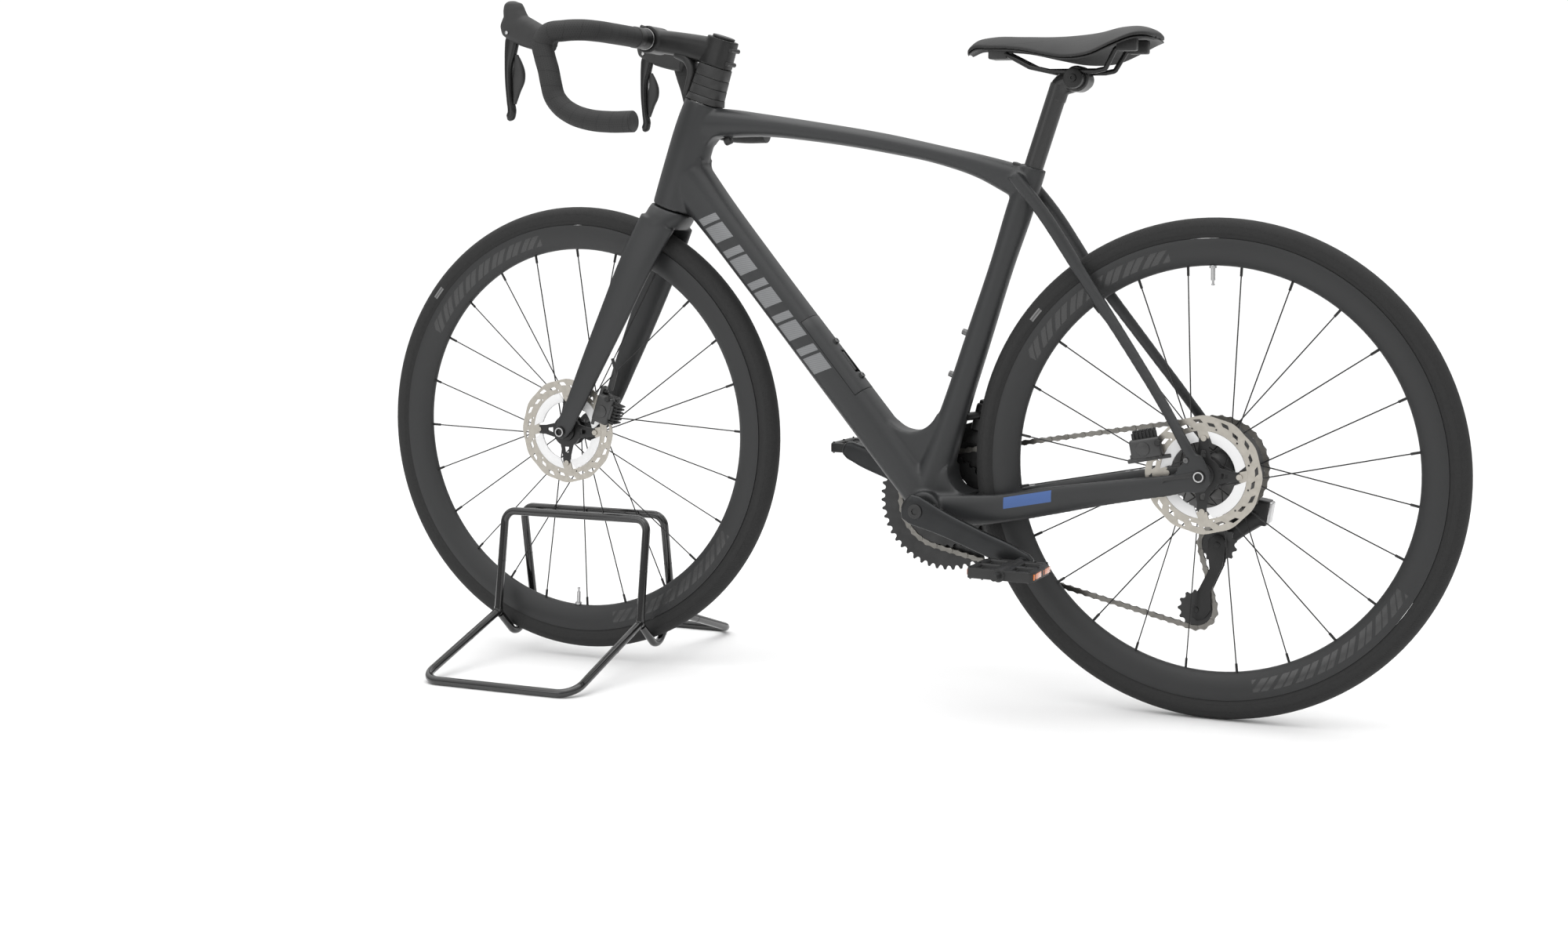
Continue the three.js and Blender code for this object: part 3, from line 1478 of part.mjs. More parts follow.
// One side: the hoop's top bar and legs, and below the joints the foot that reaches the floor.
function standSide(side) {
  const at = (along, across, height) => [STAND_X + along, side * across, height];
  const joint = (end) => at(end * STAND_HALF_LENGTH, STAND_JOINT_HALF_GAP, STAND_JOINT_HEIGHT);
  const top = (end) => at(end * STAND_HALF_LENGTH, STAND_HOOP_HALF_GAP, STAND_HOOP_HEIGHT);
  const foot = (end) =>
    at(end * STAND_FOOT_HALF_LENGTH, STAND_FOOT_HALF_SPREAD, STAND_TUBE_RADIUS);
  const hoopPath = new BentPath([joint(-1), top(-1), top(1), joint(1)], HOOP_BEND);
  const footPath = new BentPath([joint(-1), foot(-1), foot(1), joint(1)], FOOT_BEND);
  return join(
    roundTube(hoopPath, hoopPath.steps, STAND_TUBE_RADIUS),
    roundTube(footPath, footPath.steps, STAND_TUBE_RADIUS, { flatDown: true }),
    ...[-1, 1].map((end) => {
      const knuckle = new THREE.SphereGeometry(STAND_TUBE_RADIUS + 1.2, 10, 6);
      return solid(knuckle.translate(...joint(end)));
    }),
  );
}
const sides = SIDES.map(([name, side]) => [name, standSide(side)]);
for (const [name, body] of sides) place(floor, "stand_side_" + name, body, "stand");

for (const [name, end] of [
  ["front", -1],
  ["rear", 1],
]) {
  const x = STAND_X + end * STAND_HALF_LENGTH;
  const inset = STAND_TUBE_RADIUS + 2;
  const arm = Math.atan2(STAND_JOINT_HEIGHT - CRADLE_HEIGHT, STAND_JOINT_HALF_GAP);
  const armEnd = (side) => [
    x,
    side * (STAND_JOINT_HALF_GAP - inset * Math.cos(arm)),
    STAND_JOINT_HEIGHT - inset * Math.sin(arm),
  ];
  const path = new BentPath([armEnd(-1), [x, 0, CRADLE_HEIGHT], armEnd(1)], CRADLE_BEND, 4);
  place(
    floor,
    "stand_cradle_" + name,
    roundTube(path, path.steps, CRADLE_TUBE_RADIUS),
    "stand",
  );
}

// ---------------------------------------------------------------- the whole object

const whole = new THREE.Group();
whole.name = "bicycle_on_stand";
whole.add(pitched, floor);
whole.updateMatrixWorld(true);
const bounds = new THREE.Box3().setFromObject(whole, true);
const middle = bounds.getCenter(new THREE.Vector3());
whole.position.set(-middle.x, -middle.y, 0);

export default whole;
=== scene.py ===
import math

import bpy
import numpy as np
from mathutils import Matrix, Vector


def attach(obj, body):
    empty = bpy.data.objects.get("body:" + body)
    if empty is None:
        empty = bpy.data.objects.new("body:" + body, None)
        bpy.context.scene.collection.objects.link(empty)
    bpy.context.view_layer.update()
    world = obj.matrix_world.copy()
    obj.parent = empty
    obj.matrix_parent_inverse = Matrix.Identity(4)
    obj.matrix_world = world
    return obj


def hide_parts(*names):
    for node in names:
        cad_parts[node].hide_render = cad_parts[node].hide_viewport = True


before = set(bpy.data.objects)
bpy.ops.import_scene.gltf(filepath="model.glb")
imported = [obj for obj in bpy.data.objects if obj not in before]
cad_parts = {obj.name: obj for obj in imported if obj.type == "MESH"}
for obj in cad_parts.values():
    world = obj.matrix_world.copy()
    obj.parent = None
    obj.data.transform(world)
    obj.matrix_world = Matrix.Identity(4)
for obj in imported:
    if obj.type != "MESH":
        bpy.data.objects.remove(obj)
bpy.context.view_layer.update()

# ---------------------------------------------------------------- camera
# The camera stands low on the left, a little behind the bicycle, with its shift holding the
# verticals upright.

camera_data = bpy.data.cameras.new("camera")
camera_data.sensor_width = 36
camera_data.lens = 43.967
camera_data.shift_x = -0.0970
camera_data.shift_y = -0.0770
camera = bpy.data.objects.new("camera", camera_data)
camera.location = (1.11559, -2.54444, 0.68470)
camera.rotation_euler = (math.radians(90 - 4.076), 0, math.radians(21.875))
bpy.context.collection.objects.link(camera)
bpy.context.scene.camera = camera

# ---------------------------------------------------------------- floor and light
# A seamless white floor under a white surround, with one large soft lamp overhead and a weaker
# one low at the front to lift the dark tubes.


class Value:
    """One socket of a material; arithmetic on it adds Math nodes."""

    def __init__(self, shader, socket):
        self.shader, self.socket = shader, socket

    def math(self, operation, *others):
        values = dict(enumerate((self, *others)))
        return self.shader.node("ShaderNodeMath", {"operation": operation}, values)

    def reflected(self, operation, other):
        return self.shader.node("ShaderNodeMath", {"operation": operation}, {0: other, 1: self})

    def __add__(self, other):
        return self.math("ADD", other)

    __radd__ = __add__

    def __sub__(self, other):
        return self.math("SUBTRACT", other)

    def __rsub__(self, other):
        return self.reflected("SUBTRACT", other)

    def __mul__(self, other):
        return self.math("MULTIPLY", other)

    __rmul__ = __mul__

    def __truediv__(self, other):
        return self.math("DIVIDE", other)

    def __rtruediv__(self, other):
        return self.reflected("DIVIDE", other)

    def __pow__(self, other):
        return self.math("POWER", other)

    def __mod__(self, other):
        return self.math("FLOORED_MODULO", other)

    def __lt__(self, other):
        return self.math("LESS_THAN", other)

    def __gt__(self, other):
        return self.math("GREATER_THAN", other)

    def __abs__(self):
        return self.math("ABSOLUTE")


class Shader:
    """A principled material: constants sit on its own sockets, and feed links what varies."""

    def __init__(self, name, **constants):
        self.material = bpy.data.materials.new(name)
        self.material.use_nodes = True
        self.tree = self.material.node_tree
        self.surface = self.tree.nodes["Principled BSDF"]
        for socket, value in constants.items():
            self.surface.inputs[socket.replace("_", " ")].default_value = value

    def node(self, kind, settings=None, values=None, output=0):
        made = self.tree.nodes.new(kind)
        for key, value in (settings or {}).items():
            setattr(made, key, value)
        for key, value in (values or {}).items():
            if isinstance(value, Value):
                self.tree.links.new(value.socket, made.inputs[key])
            else:
                made.inputs[key].default_value = value
        return Value(self, made.outputs[output])

    def feed(self, socket, value):
        self.tree.links.new(value.socket, self.surface.inputs[socket])

    def place(self):
        """The object coordinates, as one vector and as x, y and z."""
        point = self.node("ShaderNodeTexCoord", output="Object")
        return point, *(
            self.node("ShaderNodeSeparateXYZ", values={0: point}, output=i) for i in range(3)
        )

    def noise(self, point, scale, detail=4.0):
        values = {"Vector": point, "Scale": scale, "Detail": detail}
        return self.node("ShaderNodeTexNoise", values=values)

    def mix(self, factor, first, second):
        values = {0: factor, 6: first, 7: second}
        return self.node("ShaderNodeMix", {"data_type": "RGBA"}, values, output=2)

    def bump(self, height, distance, strength=1.0):
        values = {"Height": height, "Distance": distance, "Strength": strength}
        self.feed("Normal", self.node("ShaderNodeBump", values=values))


def grey(level, tint=0.0):
    """A linear grey, cooler with a larger tint."""
    return (level * (1 - tint), level, level * (1 + tint), 1)


def finish(name, dark, light, rough, scale, grain=0.0, grain_scale=900.0, **constants):
    """A finish that wanders between two colours and two roughnesses, over a fine grain."""
    shader = Shader(name, **constants)
    point, *_ = shader.place()
    cloud = shader.noise(point, scale)
    shader.feed("Base Color", shader.mix(cloud, dark, light))
    wear = shader.noise(point, scale * 2.7)
    shader.feed("Roughness", rough[0] + wear * (rough[1] - rough[0]))
    if grain:
        shader.bump(shader.noise(point, grain_scale, 2.0), grain)
    return shader


floor_finish = finish(
    "white floor", (0.86, 0.86, 0.86, 1), (0.88, 0.88, 0.88, 1), (0.75, 0.85), 0.5
)
bpy.ops.mesh.primitive_plane_add(size=60)
floor = bpy.context.object
floor.name = "floor"
floor.data.materials.append(floor_finish.material)

world = bpy.data.worlds.new("white surround")
world.use_nodes = True
sky = world.node_tree.nodes["Background"]
sky.inputs["Color"].default_value = (1, 1, 1, 1)
links = world.node_tree.links
made = [world.node_tree.nodes.new(kind) for kind in ("ShaderNodeTexCoord", "ShaderNodeSeparateXYZ", "ShaderNodeMapRange", "ShaderNodeLightPath", "ShaderNodeMix")]
where, parts, brighter, path, choice = made
links.new(where.outputs["Generated"], parts.inputs[0])
links.new(parts.outputs["Z"], brighter.inputs["Value"])
brighter.inputs["To Min"].default_value = 0.30
brighter.inputs["To Max"].default_value = 1.75
links.new(path.outputs["Is Camera Ray"], choice.inputs[0])
links.new(brighter.outputs[0], choice.inputs[2])
choice.inputs[3].default_value = 1.05
links.new(choice.outputs[0], sky.inputs["Strength"])
bpy.context.scene.world = world
bpy.context.scene.view_settings.view_transform = "Standard"

for name, power, size, spot, aim in [
    ("overhead lamp", 35, 3.0, (-0.3, -0.6, 3.2), (0, 0, 0)),
    ("front lamp", 10, 1.6, (-1.4, -3.0, 1.4), (0, 0, 0.4)),
]:
    lamp_data = bpy.data.lights.new(name, "AREA")
    lamp_data.energy = power
    lamp_data.size = size
    lamp = bpy.data.objects.new(name, lamp_data)
    lamp.location = spot
    lamp.rotation_euler = (Vector(aim) - Vector(spot)).to_track_quat("-Z", "Y").to_euler()
    bpy.context.collection.objects.link(lamp)

# ---------------------------------------------------------------- floor stand
# One round steel tube each side, bent into a hoop and a splayed foot, with two V-shaped cradle
# tubes welded between them under the tyre. Gloss black paint over the welds.

MILLIMETRES = Matrix.Scale(0.001, 4)


def pick(*pieces):
    bpy.ops.object.select_all(action="DESELECT")
    for piece in pieces:
        piece.select_set(True)
    bpy.context.view_layer.objects.active = pieces[0]


def build(name, vertices, faces, edges=()):
    mesh = bpy.data.meshes.new(name)
    mesh.from_pydata([tuple(map(float, v)) for v in vertices], list(edges), list(faces))
    piece = bpy.data.objects.new(name, mesh)
    bpy.context.collection.objects.link(piece)
    return piece


def tidy(piece, merge=0.01):
    """Doubles merged and normals turned outwards."""
    pick(piece)
    bpy.ops.object.mode_set(mode="EDIT")
    bpy.ops.mesh.select_all(action="SELECT")
    bpy.ops.mesh.remove_doubles(threshold=merge)
    bpy.ops.mesh.normals_make_consistent(inside=False)
    bpy.ops.object.mode_set(mode="OBJECT")
    return piece


def modify(piece, kind, **settings):
    pick(piece)
    modifier = piece.modifiers.new(kind, kind)
    for key, value in settings.items():
        setattr(modifier, key, value)
    bpy.ops.object.modifier_apply(modifier=modifier.name)
    return piece


def joined(name, *pieces):
    pick(*pieces)
    bpy.ops.object.join()
    pieces[0].name = name
    return pieces[0]


def carve(piece, *tools):
    """Cuts each tool out of a piece, and drops the tool."""
    for tool in tools:
        modify(piece, "BOOLEAN", operation="DIFFERENCE", solver="EXACT", object=tool)
        bpy.data.objects.remove(tool)
    return piece


def rounded(piece, width, segments=2):
    return modify(
        piece,
        "BEVEL",
        width=width,
        segments=segments,
        limit_method="ANGLE",
        angle_limit=math.radians(35),
    )


def sweep(name, points, radius, sides=16, loop=False):
    """A round tube along points; its attribute along is the distance run."""
    points = [Vector(map(float, point)) for point in points]
    count = len(points)
    radii = [float(r) for r in (radius if hasattr(radius, "__len__") else [radius] * count)]
    vertices, run, normal, spent = [], [], None, 0.0
    for i, point in enumerate(points):
        before = points[(i - 1) % count if loop else max(i - 1, 0)]
        after = points[(i + 1) % count if loop else min(i + 1, count - 1)]
        along = (after - before).normalized()
        if normal is None:
            normal = along.orthogonal()
        normal = (normal - along * normal.dot(along)).normalized()
        side = along.cross(normal)
        if i:
            spent += (point - points[i - 1]).length
        for k in range(sides):
            turn = 2 * math.pi * k / sides
            vertices.append(point + radii[i] * (normal * math.cos(turn) + side * math.sin(turn)))
            run.append(spent)
    faces = []
    for i in range(count if loop else count - 1):
        for k in range(sides):
            a, b = i * sides + k, i * sides + (k + 1) % sides
            c, d = ((i + 1) % count) * sides + (k + 1) % sides, ((i + 1) % count) * sides + k
            faces.append((a, b, c, d))
    if not loop:
        faces += [tuple(range(sides))[::-1], tuple(range((count - 1) * sides, count * sides))]
    piece = build(name, vertices, faces)
    piece.data.attributes.new("along", "FLOAT", "POINT").data.foreach_set("value", run)
    return piece


def bent(corners, bend, steps=8):
    """Straight runs between corners, with a round bend at each inner corner."""
    corners = [Vector(corner) for corner in corners]
    line = [corners[0]]
    for before, corner, after in zip(corners, corners[1:], corners[2:]):
        to, away = (before - corner).normalized(), (after - corner).normalized()
        half = to.angle(away) / 2
        middle = corner + (to + away).normalized() * (bend / math.sin(half))
        arm = corner + to * (bend / math.tan(half)) - middle
        axis = to.cross(away).normalized()
        for k in range(steps + 1):
            turn = -(math.pi - 2 * half) * k / steps
            line.append(middle + Matrix.Rotation(turn, 3, axis) @ arm)
    return [*line, corners[-1]]


def rod(name, radius, start, end, sides=24, end_radius=None):
    """A cylinder or cone between two points."""
    start, end = Vector(start), Vector(end)
    bpy.ops.mesh.primitive_cone_add(
        vertices=sides,
        radius1=radius,
        radius2=radius if end_radius is None else end_radius,
        depth=(end - start).length,
    )
    piece = bpy.context.object
    piece.name = name
    turn = (end - start).to_track_quat("Z", "Y").to_matrix().to_4x4()
    piece.data.transform(Matrix.Translation((start + end) / 2) @ turn)
    return piece


def settle(piece, place, shader, body, slot, *stands_for, angle=35):
    """The finished piece in its place, on its body, in its finish."""
    piece.data.transform(place)
    piece.data.materials.clear()
    piece.data.materials.append(shader.material)
    pick(piece)
    bpy.ops.object.shade_smooth_by_angle(angle=math.radians(angle))
    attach(piece, body)
    if stands_for:
        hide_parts(*stands_for)
    return piece


stand_paint = finish(
    "gloss black paint",
    grey(0.004),
    grey(0.008),
    (0.10, 0.20),
    18,
    grain=0.00002,
    grain_scale=300,
    Coat_Weight=0.6,
    Coat_Roughness=0.05,
)
STAND_MIDDLE = -497.934
STAND_TUBE = 6.2
JOINT = (127.5, 49, 71.5)  # fore and aft, across, up: where legs, feet and cradle meet
HOOP_TOP = (127.5, 25, 226.5)
FOOT = (130, 241, STAND_TUBE)
CRADLE_LOW = 24.0
for side_name, side in [("left", -1), ("right", 1)]:
    def stand_point(spot, end):
        return (STAND_MIDDLE + end * spot[0], side * spot[1], spot[2])

    hoop_line = bent([stand_point(p, e) for p, e in zip((JOINT, HOOP_TOP, HOOP_TOP, JOINT), (-1, -1, 1, 1))], 18)
    foot_line = bent([stand_point(p, e) for p, e in zip((JOINT, FOOT, FOOT, JOINT), (-1, -1, 1, 1))], 28)
    parts = [
        sweep("hoop", hoop_line, STAND_TUBE, 24),
        sweep("foot", foot_line, STAND_TUBE, 24),
    ]
    for end in (-1, 1):
        joint = Vector(stand_point(JOINT, end))
        for toward in (HOOP_TOP, FOOT):
            along = (Vector(stand_point(toward, end)) - joint).normalized()
            parts.append(rod("sleeve", STAND_TUBE + 0.7, joint - along, joint + along * 7))
            near = joint + along * 78
            parts.append(rod("ring mark", STAND_TUBE + 0.25, near, near + along * 1.6))
        bpy.ops.mesh.primitive_uv_sphere_add(segments=24, ring_count=12, radius=STAND_TUBE + 1.2)
        knuckle = bpy.context.object
        knuckle.data.transform(Matrix.Translation(joint))
        parts.append(knuckle)
    stand_side = joined("stand_side_" + side_name, *parts)
    settle(stand_side, MILLIMETRES, stand_paint, "stand", "stand", "stand_side_" + side_name)

for end_name, end in [("front", -1), ("rear", 1)]:
    reach = STAND_TUBE + 2
    arm = math.atan2(JOINT[2] - CRADLE_LOW, JOINT[1])
    across, up = JOINT[1] - reach * math.cos(arm), JOINT[2] - reach * math.sin(arm)
    x = STAND_MIDDLE + end * JOINT[0]
    cradle_line = bent([(x, -across, up), (x, 0, CRADLE_LOW), (x, across, up)], 20, 12)
    cradle = sweep("stand_cradle_" + end_name, cradle_line, STAND_TUBE - 0.5, 24)
    settle(cradle, MILLIMETRES, stand_paint, "stand", "stand", "stand_cradle_" + end_name)

# ---------------------------------------------------------------- tyres
# Slick road tyres with a round crown, fine ribs on the shoulders and a small printed patch on
# the side wall. Moulded rubber, dusty grey-black, on both rims.

PITCH = math.asin(16.25 / 1001)
AXLE_HEIGHT = 343
# The level bicycle, in millimetres from its rear axle, pitched about that axle and set down.
BICYCLE = (
    Matrix.Translation((0.500434, 0, AXLE_HEIGHT / 1000))
    @ Matrix.Rotation(PITCH, 4, "Y")
    @ Matrix.Translation((0, 0, -AXLE_HEIGHT / 1000))
    @ MILLIMETRES
)
WHEELS = [("front", -1001, 17.0, -91.0), ("rear", 0, 8.5, 91.5)]  # x, spoke turn, valve turn


def turned(name, profile, x, z, steps=96, loop=True):
    """A profile of [radius, y] points spun about a line along Y at x, z."""
    count = len(profile)
    edges = [(i, i + 1) for i in range(count - 1)] + ([(count - 1, 0)] if loop else [])
    piece = build(name, [(x + radius, y, z) for radius, y in profile], [], edges)
    pick(piece)
    bpy.ops.object.mode_set(mode="EDIT")
    bpy.ops.mesh.select_all(action="SELECT")
    bpy.ops.mesh.spin(steps=steps, angle=2 * math.pi, center=(x, 0, z), axis=(0, 1, 0))
    bpy.ops.object.mode_set(mode="OBJECT")
    return tidy(piece)


def polar(shader, x, z=AXLE_HEIGHT):
    """Radius in millimetres and turn in radians about a wheel's middle, and y in millimetres."""
    middle = BICYCLE @ Vector((x, 0, z))
    _, px, py, pz = shader.place()
    across, up = (px - middle.x) * 1000.0, (pz - middle.z) * 1000.0
    radius = (across * across + up * up).math("SQRT")
    return radius, up.math("ARCTAN2", across), py * 1000.0


for wheel_name, x, spoke_turn, valve_turn in WHEELS:
    body = wheel_name + "_wheel"
    rubber = Shader("tyre rubber " + wheel_name, Specular_IOR_Level=0.35)
    point, *_ = rubber.place()
    radius, turn, across = polar(rubber, x)
    shoulder = (radius > 330.0) * (radius < 339.5)
    slant = ((turn * 620.0 + abs(across) * 2.0) % 6.2832).math("SINE")
    ribs = shoulder * (slant > 0.1)
    seam = (abs(radius - 331.0) < 0.5) + (abs(radius - 321.0) < 0.4)
    cloud = rubber.noise(point, 14.0)
    dark = rubber.mix(cloud, grey(0.010), grey(0.018))
    dusty = rubber.mix(rubber.noise(point, 240.0) * 0.30, dark, grey(0.040))
    patch = (abs(turn - 2.45) < 0.032) * (abs(radius - 325.0) < 3.0)
    stripe = (abs(radius - 325.0) < 1.0) * patch
    printed = rubber.mix(patch * 0.35, dusty, grey(0.5))
    rubber.feed("Base Color", rubber.mix(stripe * 0.6, printed, grey(0.04)))
    rubber.feed("Roughness", 0.62 + cloud * 0.2)
    rubber.bump(ribs * 0.6 - seam * 0.8 + rubber.noise(point, 700.0) * 0.3, 0.0004)
    tyre_profile = [
        (327 + 16 * math.cos(math.radians(a)), 16 * math.sin(math.radians(a)))
        for a in range(-124, 125, 8)
    ]
    tyre_profile += [(315.4, 12.6), (315.4, -12.6)]
    tyre = turned(wheel_name + "_tyre", tyre_profile, x, AXLE_HEIGHT, 144)
    settle(tyre, BICYCLE, rubber, body, "tyre", wheel_name + "_tyre", angle=60)

# ---------------------------------------------------------------- rims and valves
# Deep hollow carbon rims, matt with a row of glossy raised blocks round each side, drilled for
# 24 spokes. A silver valve stands out of each, with its lock ring and core.


def through(points, per):
    """A smooth line through points, with per steps from each to the next."""
    points = np.array(points, float)
    gaps = np.linalg.norm(np.diff(points[:, :3], axis=0), axis=1)
    slope = np.gradient(points, np.concatenate([[0], np.cumsum(gaps)]), axis=0)
    line = []
    for i, gap in enumerate(gaps):
        for t in np.arange(per) / per:
            line.append(
                (2 * t**3 - 3 * t**2 + 1) * points[i]
                + (t**3 - 2 * t**2 + t) * gap * slope[i]
                + (3 * t**2 - 2 * t**3) * points[i + 1]
                + (t**3 - t**2) * gap * slope[i + 1]
            )
    return np.array([*line, points[-1]])


silver = finish(
    "polished silver", grey(0.42), grey(0.62), (0.22, 0.38), 60, Metallic=1.0
)
RIM_HALF = [(315, 13.6, 0), (311, 14.4, 0), (303, 14.6, 0), (292, 12.2, 0), (283, 7.4, 0), (278.6, 3.0, 0), (277.8, 0, 0)]
for wheel_name, x, spoke_turn, valve_turn in WHEELS:
    body = wheel_name + "_wheel"
    carbon_rim = Shader("rim carbon " + wheel_name)
    point, *_ = carbon_rim.place()
    radius, turn, across = polar(carbon_rim, x)
    cloud = carbon_rim.noise(point, 9.0)
    # Two glossy runs of eight slanted blocks each, opposite one another.
    lean = turn * 9.5 + (radius - 296.0) * 0.035
    cell = lean % 1.0
    run = abs((turn / math.pi) % 1.0 - 0.70) < 0.135
    block = run * (cell > 0.22) * (abs(radius - 297.0) < 8.5)
    mark = block * (1.0 - (cell > 0.58) * (cell < 0.66))
    base = carbon_rim.mix(cloud, grey(0.012, 0.03), grey(0.019, 0.03))
    carbon_rim.feed("Base Color", carbon_rim.mix(mark * 0.8, base, grey(0.045)))
    carbon_rim.feed("Roughness", 0.46 + cloud * 0.1 - mark * 0.24)
    carbon_rim.bump(mark + carbon_rim.noise(point, 500.0) * 0.05, 0.00015)
    half = through(RIM_HALF, 4)
    rim_profile = [(r, y) for r, y, _ in half] + [(r, -y) for r, y, _ in half[-2::-1]]
    rim = turned(wheel_name + "_rim", rim_profile, x, AXLE_HEIGHT, 144)
    settle(rim, BICYCLE, carbon_rim, body, "rim", wheel_name + "_rim", angle=50)

    def rim_point(radius, degrees, y=0.0):
        turn = math.radians(degrees)
        return (x + radius * math.cos(turn), y, AXLE_HEIGHT + radius * math.sin(turn))

    valve_parts = [
        rod("stem", 3.0, rim_point(279, valve_turn), rim_point(258, valve_turn)),
        rod("lock ring", 5.2, rim_point(277.5, valve_turn), rim_point(274.5, valve_turn), 12),
        rod("core", 1.6, rim_point(258, valve_turn), rim_point(251, valve_turn), 12),
        rod("nut", 2.4, rim_point(253.5, valve_turn), rim_point(251.5, valve_turn), 12),
    ]
    valve = joined(wheel_name + "_valve", *valve_parts)
    settle(valve, BICYCLE, silver, body, "steel")

# ---------------------------------------------------------------- hubs and spokes
# Turned black hubs with two flanges, laced two-cross with 24 thin black steel spokes in brass
# nipples. The left end of each carries its brake rotor.

black_metal = finish(
    "black anodised metal",
    grey(0.014),
    grey(0.028),
    (0.28, 0.42),
    40,
    grain=0.00002,
    Metallic=0.55,
)
HUBS = {
    "front": [(6.3, -50), (10, -50), (10, -47), (15, -46), (15, -26), (22, -24), (23, -22), (22, -20), (15, -17), (11.5, -8), (11.5, 14), (15, 23), (22, 26), (23, 28), (22, 30), (14, 32), (10, 36), (10, 50), (6.3, 50)],
    "rear": [(6.3, -71), (10, -71), (10, -64), (16, -62), (16, -40), (24, -37), (25, -35), (24, -33), (17, -29), (13.5, -20), (13.5, 6), (18, 12), (24, 14), (25, 16), (24, 18), (17, 21), (10, 23), (10, 71), (6.3, 71)],
}
for wheel_name, x, spoke_turn, valve_turn in WHEELS:
    profile = HUBS[wheel_name]
    flange_y = [y for r, y in profile if r == max(p[0] for p in profile)]
    flange_radius = max(p[0] for p in profile) - 3.5
    parts = [turned("hub", profile, x, AXLE_HEIGHT, 48)]
    for side, y in enumerate(flange_y):
        for i in range(12):
            hub_turn = math.radians(spoke_turn + (i + side / 2) * 30)
            rim_turn = hub_turn + math.radians(-60 if i % 2 else 60)
            out = -2 if side == 0 else 2
            head = y + (out if i % 2 else -out)

            def spoke_point(radius, turn, y):
                return Vector((x + radius * math.cos(turn), y, AXLE_HEIGHT + radius * math.sin(turn)))

            root = spoke_point(flange_radius, hub_turn, head)
            tip = spoke_point(279, rim_turn, -2.5 if side == 0 else 2.5)
            along = (tip - root).normalized()
            parts.append(rod("spoke", 0.95, root - along * 2, tip - along * 8, 6))
            parts.append(rod("nipple", 1.9, tip - along * 13, tip, 6))
    hub = joined(wheel_name + "_hub_and_spokes", *parts)
    settle(hub, BICYCLE, black_metal, wheel_name + "_wheel", "black_metal", wheel_name + "_hub_and_spokes")

# ---------------------------------------------------------------- brake rotors
# A steel braking ring with slots and a wavy edge, white painted cooling fins inside it, and a
# black four-armed carrier on the hub, with a silver rivet at the end of each arm.


def flat(name, outlines, low, high):
    """A plate between two y from outlines of [x, z] points: its edge, then any holes."""
    curve = bpy.data.curves.new(name, "CURVE")
    curve.dimensions = "2D"
    curve.fill_mode = "BOTH"
    curve.extrude = (high - low) / 2
    for outline in outlines:
        spline = curve.splines.new("POLY")
        spline.points.add(len(outline) - 1)
        spline.use_cyclic_u = True
        for spot, (x, z) in zip(spline.points, outline):
            spot.co = (x, z, 0, 1)
    piece = bpy.data.objects.new(name, curve)
    bpy.context.collection.objects.link(piece)
    pick(piece)
    bpy.ops.object.convert(target="MESH")
    piece = bpy.context.object
    upright = Matrix.Rotation(math.pi / 2, 4, "X")
    piece.data.transform(Matrix.Translation((0, (low + high) / 2, 0)) @ upright)
    return tidy(piece, 0.001)


def ring(x, z, radius, sides=48, turn=0.0):
    turns = [turn + 2 * math.pi * i / sides for i in range(sides)]
    return [(x + radius * math.cos(t), z + radius * math.sin(t)) for t in turns]


def arc_slot(x, z, inner, outer, start, end, steps=4):
    """A slot between two radii and two turns, with slanted ends."""
    turns = [start + (end - start) * i / steps for i in range(steps + 1)]
    lean = (outer - inner) * 0.006
    edge = [(x + outer * math.cos(t + lean), z + outer * math.sin(t + lean)) for t in turns]
    back = [(x + inner * math.cos(t - lean), z + inner * math.sin(t - lean)) for t in turns[::-1]]
    return edge + back


